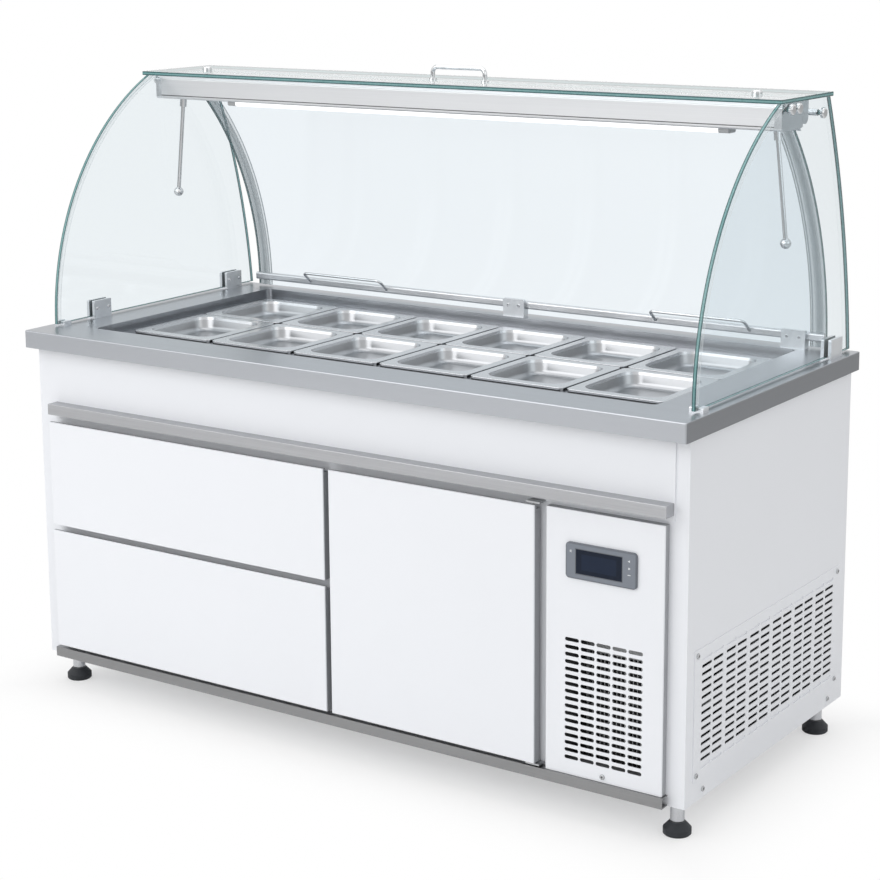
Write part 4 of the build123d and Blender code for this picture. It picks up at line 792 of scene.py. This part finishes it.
def panel_screw_places():
    """Outer face of every panel screw: the vent panel's corners, the skirt and the machine-bay panel."""
    low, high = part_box("side_vent_panel")
    body_low, body_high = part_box("cabinet_body")
    head = 0.0025
    inset = 0.010
    skirt = 0.066
    skirt_rise = 0.016
    cross_turn = 0.4
    to_right = Matrix.Rotation(math.pi / 2.0, 4, "Y") @ Matrix.Rotation(cross_turn, 4, "Z")
    spots = []
    for y in (low.y + inset, high.y - inset):
        for z in (low.z + inset, high.z - inset):
            spots.append((high.x + head, y, z))
    for y in (body_low.y + skirt, body_high.y - skirt):
        spots.append((body_high.x + head, y, body_low.z + skirt_rise))
    places = [Matrix.Translation(spot) @ to_right for spot in spots]
    panel_low, panel_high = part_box("machine_panel")
    middle = (panel_low.x + panel_high.x) / 2.0
    front = Matrix.Translation((middle, panel_low.y - head, panel_low.z + inset))
    places.append(front @ Matrix.Rotation(math.pi / 2.0, 4, "X"))
    return places


def ring_mark(marks, place, size):
    """A flat ring."""
    made = bmesh.ops.create_circle(marks, cap_ends=True, segments=24, radius=size, matrix=place)
    disc = made["verts"][0].link_faces[0]
    bmesh.ops.inset_region(marks, faces=[disc], thickness=size * 0.36)
    bmesh.ops.delete(marks, geom=[disc], context="FACES")


def wedge_mark(marks, place, size, point):
    """A flat triangle that points up (1) or down (-1)."""
    spin = Matrix.Rotation(point * math.pi / 2.0, 4, "Z")
    bmesh.ops.create_circle(marks, cap_ends=True, segments=3, radius=size, matrix=place @ spin)


def star_mark(marks, place, size):
    """Three crossed bars, the common sign for cooling."""
    bar = Matrix.Diagonal((2.0 * size, 0.3 * size, 1.0, 1.0))
    for index in range(3):
        spin = Matrix.Rotation(index * math.pi / 3.0, 4, "Z")
        bmesh.ops.create_grid(marks, x_segments=1, y_segments=1, size=0.5, matrix=place @ spin @ bar)


def bar_mark(marks, place, size):
    """A short flat bar."""
    bar = Matrix.Diagonal((2.2 * size, 0.5 * size, 1.0, 1.0))
    bmesh.ops.create_grid(marks, x_segments=1, y_segments=1, size=0.5, matrix=place @ bar)


def key_marks(look):
    """Generic signs beside the window: four keys at the right and two indicators at the left."""
    low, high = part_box("controller_bezel")
    hole_low, hole_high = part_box("controller_display")
    tall = high.z - low.z
    right = (hole_high.x + high.x) / 2.0
    left = (low.x + hole_low.x) / 2.0
    size = look.mark_size
    marks = bmesh.new()

    def spot(x, drop):
        return Matrix.Translation((x, high.z - drop * tall, 0.0))

    wedge_mark(marks, spot(right, KEY_ROWS[0]), size, 1)
    wedge_mark(marks, spot(right, KEY_ROWS[1]), size, -1)
    bar_mark(marks, spot(right, KEY_ROWS[2]), size)
    ring_mark(marks, spot(right, KEY_ROWS[3]), size)
    star_mark(marks, spot(left, INDICATOR_ROWS[0]), size)
    ring_mark(marks, spot(left, INDICATOR_ROWS[1]), size * 0.8)
    marks = thickened(marks, look.mark_rise)
    upright = Matrix.Translation((0.0, low.y, 0.0)) @ Matrix.Rotation(math.pi / 2.0, 4, "X")
    bmesh.ops.transform(marks, matrix=upright, verts=marks.verts)
    return marks


# Operators

class SALADBAR_OT_cabinet(bpy.types.Operator):
    """Coat the cabinet, its fascia, the slotted side panel and the machine-bay panel."""

    bl_idname = "saladbar.cabinet"
    bl_label = "Cabinet"

    def execute(self, context):
        look = context.scene.saladbar_enamel
        dress(cabinet_enamel(look), "cabinet_body")
        dress(enamel("sheet_enamel", look), "front_top_panel", "side_vent_panel")
        dress(panel_enamel(look), "machine_panel")
        return {"FINISHED"}


class SALADBAR_OT_fronts(bpy.types.Operator):
    """Coat the drawer and door fronts and colour their seals."""

    bl_idname = "saladbar.fronts"
    bl_label = "Drawer and door fronts"

    def execute(self, context):
        look = context.scene.saladbar_enamel
        dress(front_enamel(look), "upper_drawer_front", "lower_drawer_front", "door_panel")
        dress(seal_rubber(look), "upper_drawer_gasket", "lower_drawer_gasket", "door_gasket")
        return {"FINISHED"}


class SALADBAR_OT_trim(bpy.types.Operator):
    """Brush the handle strip and the base rail."""

    bl_idname = "saladbar.trim"
    bl_label = "Steel trim"

    def execute(self, context):
        look = context.scene.saladbar_steel
        dress(brushed("trim_steel", look.trim, 0, look.brush_pitch, 0.36, 0.07), "handle_strip")
        dress(brushed("base_steel", look.base, 0, look.brush_pitch, 0.36, 0.07), "base_rail")
        return {"FINISHED"}


class SALADBAR_OT_drawers(bpy.types.Operator):
    """Finish the drawer boxes, the runners, the door's hinges and its shelf."""

    bl_idname = "saladbar.drawers"
    bl_label = "Drawer boxes and runners"

    def execute(self, context):
        look = context.scene.saladbar_steel
        dress(brushed("box_steel", look.trim, 1, look.brush_pitch, 0.34, 0.06), "upper_drawer_box",
              "lower_drawer_box", "door_shelf")
        dress(brushed("runner_zinc", look.zinc, 1, look.brush_pitch, 0.40, 0.10), "runner_rails",
              "upper_runner_slides", "lower_runner_slides", "door_hinges")
        return {"FINISHED"}


class SALADBAR_OT_worktop(bpy.types.Operator):
    """Brush the worktop and the deck that carries the pans."""

    bl_idname = "saladbar.worktop"
    bl_label = "Worktop and deck"

    def execute(self, context):
        look = context.scene.saladbar_steel
        dress(worktop_steel(look), "countertop")
        # The deck's dark colour is partly painted shade in the gaps between the pans.
        dress(brushed("deck_steel", look.deck, 0, look.brush_pitch, 0.27, 0.05), "pan_deck")
        return {"FINISHED"}


class SALADBAR_OT_pans(bpy.types.Operator):
    """Finish the twelve pans."""

    bl_idname = "saladbar.pans"
    bl_label = "Pans"

    def execute(self, context):
        dress(pan_steel(context.scene.saladbar_steel), *PANS)
        return {"FINISHED"}


class SALADBAR_OT_panes(bpy.types.Operator):
    """Glaze the canopy: two end panes, the top pane and the curved rear pane."""

    bl_idname = "saladbar.panes"
    bl_label = "Glass panes"

    def execute(self, context):
        look = context.scene.saladbar_glass
        fittings = context.scene.saladbar_fittings
        for name, side in (("left_side_glass", -1.0), ("right_side_glass", 1.0)):
            dress(end_pane(name, side, look, fittings), name)
        dress(top_pane(look), "top_glass")
        dress(rear_pane(look), "rear_glass")
        return {"FINISHED"}


class SALADBAR_OT_light(bpy.types.Operator):
    """Finish the light bar, its end caps and the lamp under it."""

    bl_idname = "saladbar.light"
    bl_label = "Light bar"

    def execute(self, context):
        look = context.scene.saladbar_fittings
        dress(bar_aluminium(look), "light_bar")
        dress(polished("cap_chrome", look.satin, 0.16), "light_bar_end_caps")
        dress(lamp_cover(look), "led_lamp")
        return {"FINISHED"}


class SALADBAR_OT_fittings(bpy.types.Operator):
    """Finish the clamps, rests, bolts, handles, stays and the rails of the rear pane."""

    bl_idname = "saladbar.fittings"
    bl_label = "Canopy fittings"

    def execute(self, context):
        look = context.scene.saladbar_fittings
        dress(polished("fitting_chrome", look.chrome, 0.08), "cap_bolts", "top_handle", "rear_handles",
              "canopy_stays")
        dress(polished("clamp_steel", look.satin, 0.32), "glass_clamps", "rear_rests")
        dress(brushed("rail_aluminium", look.aluminium, 0, 0.0011, 0.30, 0.06), "rear_top_rail",
              "rear_bottom_rail")
        return {"FINISHED"}


class SALADBAR_OT_clamp_screws(bpy.types.Operator):
    """Set the small screws into the clamps and the rests."""

    bl_idname = "saladbar.clamp_screws"
    bl_label = "Clamp screws"

    def execute(self, context):
        look = context.scene.saladbar_fittings
        heads = repeat(socket_screw(look.screw_radius, look.screw_rise), clamp_screw_places(look))
        new_piece("clamp_screws", heads, polished("screw_chrome", look.chrome, 0.10))
        return {"FINISHED"}


class SALADBAR_OT_controller(bpy.types.Operator):
    """Finish the controller and print the signs beside its window."""

    bl_idname = "saladbar.controller"
    bl_label = "Controller"

    def execute(self, context):
        look = context.scene.saladbar_control
        dress(bezel_plastic(look), "controller_bezel")
        dress(window_plastic(look), "controller_display")
        print_ink = grained("key_print", look.mark, 0.45, 0.0008)
        new_piece("key_marks", key_marks(look), print_ink)
        return {"FINISHED"}


class SALADBAR_OT_panel_screws(bpy.types.Operator):
    """Finish the panel screws and lay a dark flat cross on each head as painted shade of its cross recess.
    """

    bl_idname = "saladbar.panel_screws"
    bl_label = "Panel screws"

    def execute(self, context):
        steel = context.scene.saladbar_steel
        dress(polished("screw_zinc", steel.zinc, 0.20), "panel_screws")
        crosses = repeat(painted_cross_shadow(CROSS_RADIUS, CROSS_RISE), panel_screw_places())
        # Painted shade: a near-black flat cross stands in for the shade in each screw's cross recess.
        dark = grained("recess_shadow", (0.03, 0.031, 0.033), 0.6, 0.0006)
        new_piece("screw_crosses", crosses, dark)
        return {"FINISHED"}


class SALADBAR_OT_feet(bpy.types.Operator):
    """Finish the leg tubes and the feet."""

    bl_idname = "saladbar.feet"
    bl_label = "Legs and feet"

    def execute(self, context):
        look = context.scene.saladbar_machine
        dress(brushed("leg_steel", look.leg, 2, 0.0012, 0.24, 0.06), "legs")
        dress(foot_rubber(look), *FEET)
        return {"FINISHED"}


class SALADBAR_OT_machine(bpy.types.Operator):
    """Finish the compressor, the condenser and its fan, and the evaporator."""

    bl_idname = "saladbar.machine"
    bl_label = "Cooling machine"

    def execute(self, context):
        look = context.scene.saladbar_machine
        dress(grained("compressor_enamel", look.enamel, 0.30, 0.0012), "compressor")
        dress(finned("condenser_fins", "condenser", look), "condenser")
        dress(finned("evaporator_fins", "evaporator", look), "evaporator")
        dress(grained("fan_plastic", look.blade, 0.45, 0.0010), "condenser_fan")
        return {"FINISHED"}


def area_lamp(name, place, aim, width, height, watts):
    """A soft rectangular lamp that points at a place."""
    light = bpy.data.lights.new(name, "AREA")
    light.shape = "RECTANGLE"
    light.size = width
    light.size_y = height
    light.energy = watts
    lamp = bpy.data.objects.new(name, light)
    bpy.context.collection.objects.link(lamp)
    lamp.location = place
    lamp.rotation_euler = (Vector(aim) - Vector(place)).to_track_quat("-Z", "Y").to_euler()
    return lamp


def floor_finish(look):
    """Pale floor that the camera sees as white, with the object's soft shadow left in it."""
    finish = new_finish("studio_floor")
    seen = Field(finish, finish.node("ShaderNodeLightPath").outputs["Is Camera Ray"])
    speck = finish.noise(30.0, 3.0)
    tone = finish.mix(speck, scaled(look.floor, 0.995), scaled(look.floor, 1.005))
    matt = finish.surface(Base_Color=tone, Roughness=0.85, Specular_IOR_Level=0.1)
    white = finish.node("ShaderNodeEmission", {}, {"Color": (1.0, 1.0, 1.0), "Strength": 1.0}).outputs[0]
    corner = cad_box[1]
    away = (abs(finish.x) - corner.x) | (abs(finish.y) - corner.y)
    under = 0.40
    share = under + (1.0 - under) * away.rise(-0.14, 0.18)
    return finish.done(finish.join(share * seen, matt, white))


def studio_world(look):
    """White all round for the camera, gloss and glass; an even softer light for everything else."""
    finish = Finish(bpy.data.worlds.new("studio"), "Generated")
    path = finish.node("ShaderNodeLightPath").outputs
    seen = Field(finish, path["Is Camera Ray"])
    seen = seen | Field(finish, path["Is Glossy Ray"]) | Field(finish, path["Is Transmission Ray"])
    overhead = finish.z.rise(0.35, 0.95)
    sky = finish.mix(overhead, (1.0, 1.0, 1.0), (0.80, 0.81, 0.82))
    white = finish.node("ShaderNodeBackground", {}, {"Color": sky, "Strength": 1.0}).outputs[0]
    soft = finish.node("ShaderNodeBackground", {},
                       {"Color": (1.0, 1.0, 1.0), "Strength": look.ambient}).outputs[0]
    return finish.done(finish.join(seen, soft, white), "ShaderNodeOutputWorld")


def photo_camera(look):
    """Camera at the photograph's angle."""
    data = bpy.data.cameras.new("camera")
    data.sensor_width = 36.0
    data.lens = look.lens
    data.shift_y = look.shift
    data.clip_end = 200.0
    camera = bpy.data.objects.new("camera", data)
    bpy.context.collection.objects.link(camera)
    place = Matrix.Translation((look.camera_x, look.camera_y, look.camera_z))
    aim = Matrix.Rotation(look.yaw, 4, "Z") @ Matrix.Rotation(math.pi / 2.0 - look.pitch, 4, "X")
    camera.matrix_world = place @ aim @ Matrix.Rotation(look.roll, 4, "Z")
    return camera


class SALADBAR_OT_stage(bpy.types.Operator):
    """Lay the floor, set the lamps and the white surroundings, and place the camera."""

    bl_idname = "saladbar.stage"
    bl_label = "Stage"

    def execute(self, context):
        look = context.scene.saladbar_stage
        sheet = bmesh.new()
        bmesh.ops.create_grid(sheet, x_segments=1, y_segments=1, size=look.floor_half)
        mesh = bpy.data.meshes.new("studio_floor")
        sheet.to_mesh(mesh)
        sheet.free()
        mesh.materials.append(floor_finish(look))
        floor = bpy.data.objects.new("studio_floor", mesh)
        context.collection.objects.link(floor)
        context.scene.world = studio_world(look)
        area_lamp("key", *KEY_LAMP, look.key)
        area_lamp("fill", *FILL_LAMP, look.fill)
        area_lamp("top", *TOP_LAMP, look.top)
        context.scene.camera = photo_camera(look)
        context.scene.view_settings.view_transform = "Standard"
        return {"FINISHED"}


LOOKS = {
    "saladbar_enamel": EnamelLook,
    "saladbar_steel": SteelLook,
    "saladbar_glass": GlassLook,
    "saladbar_fittings": FittingLook,
    "saladbar_control": ControlLook,
    "saladbar_machine": MachineLook,
    "saladbar_stage": StageLook,
}

OPERATORS = (
    SALADBAR_OT_stage, SALADBAR_OT_cabinet, SALADBAR_OT_fronts, SALADBAR_OT_trim, SALADBAR_OT_drawers,
    SALADBAR_OT_worktop, SALADBAR_OT_pans, SALADBAR_OT_panes, SALADBAR_OT_light, SALADBAR_OT_fittings,
    SALADBAR_OT_clamp_screws, SALADBAR_OT_controller, SALADBAR_OT_panel_screws, SALADBAR_OT_feet,
    SALADBAR_OT_machine,
)


class SALADBAR_PT_panel(bpy.types.Panel):
    """Sizes and colours of the salad bar, and the steps that finish it."""

    bl_idname = "SALADBAR_PT_panel"
    bl_label = "Salad bar"
    bl_space_type = "VIEW_3D"
    bl_region_type = "UI"
    bl_category = "Salad bar"

    def draw(self, context):
        for step in OPERATORS:
            self.layout.operator(step.bl_idname)
        for name, group in LOOKS.items():
            column = self.layout.box().column()
            column.label(text=group.__doc__)
            for prop in group.__annotations__:
                column.prop(getattr(context.scene, name), prop)


def register():
    for group in LOOKS.values():
        bpy.utils.register_class(group)
    for name, group in LOOKS.items():
        setattr(bpy.types.Scene, name, PointerProperty(type=group))
    for step in OPERATORS:
        bpy.utils.register_class(step)
    bpy.utils.register_class(SALADBAR_PT_panel)


def unregister():
    bpy.utils.unregister_class(SALADBAR_PT_panel)
    for step in reversed(OPERATORS):
        bpy.utils.unregister_class(step)
    for name, group in LOOKS.items():
        delattr(bpy.types.Scene, name)
        bpy.utils.unregister_class(group)


def main():
    register()
    for step in OPERATORS:
        name = step.bl_idname.split(".")[1]
        getattr(bpy.ops.saladbar, name)()


if __name__ == "__main__":
    main()
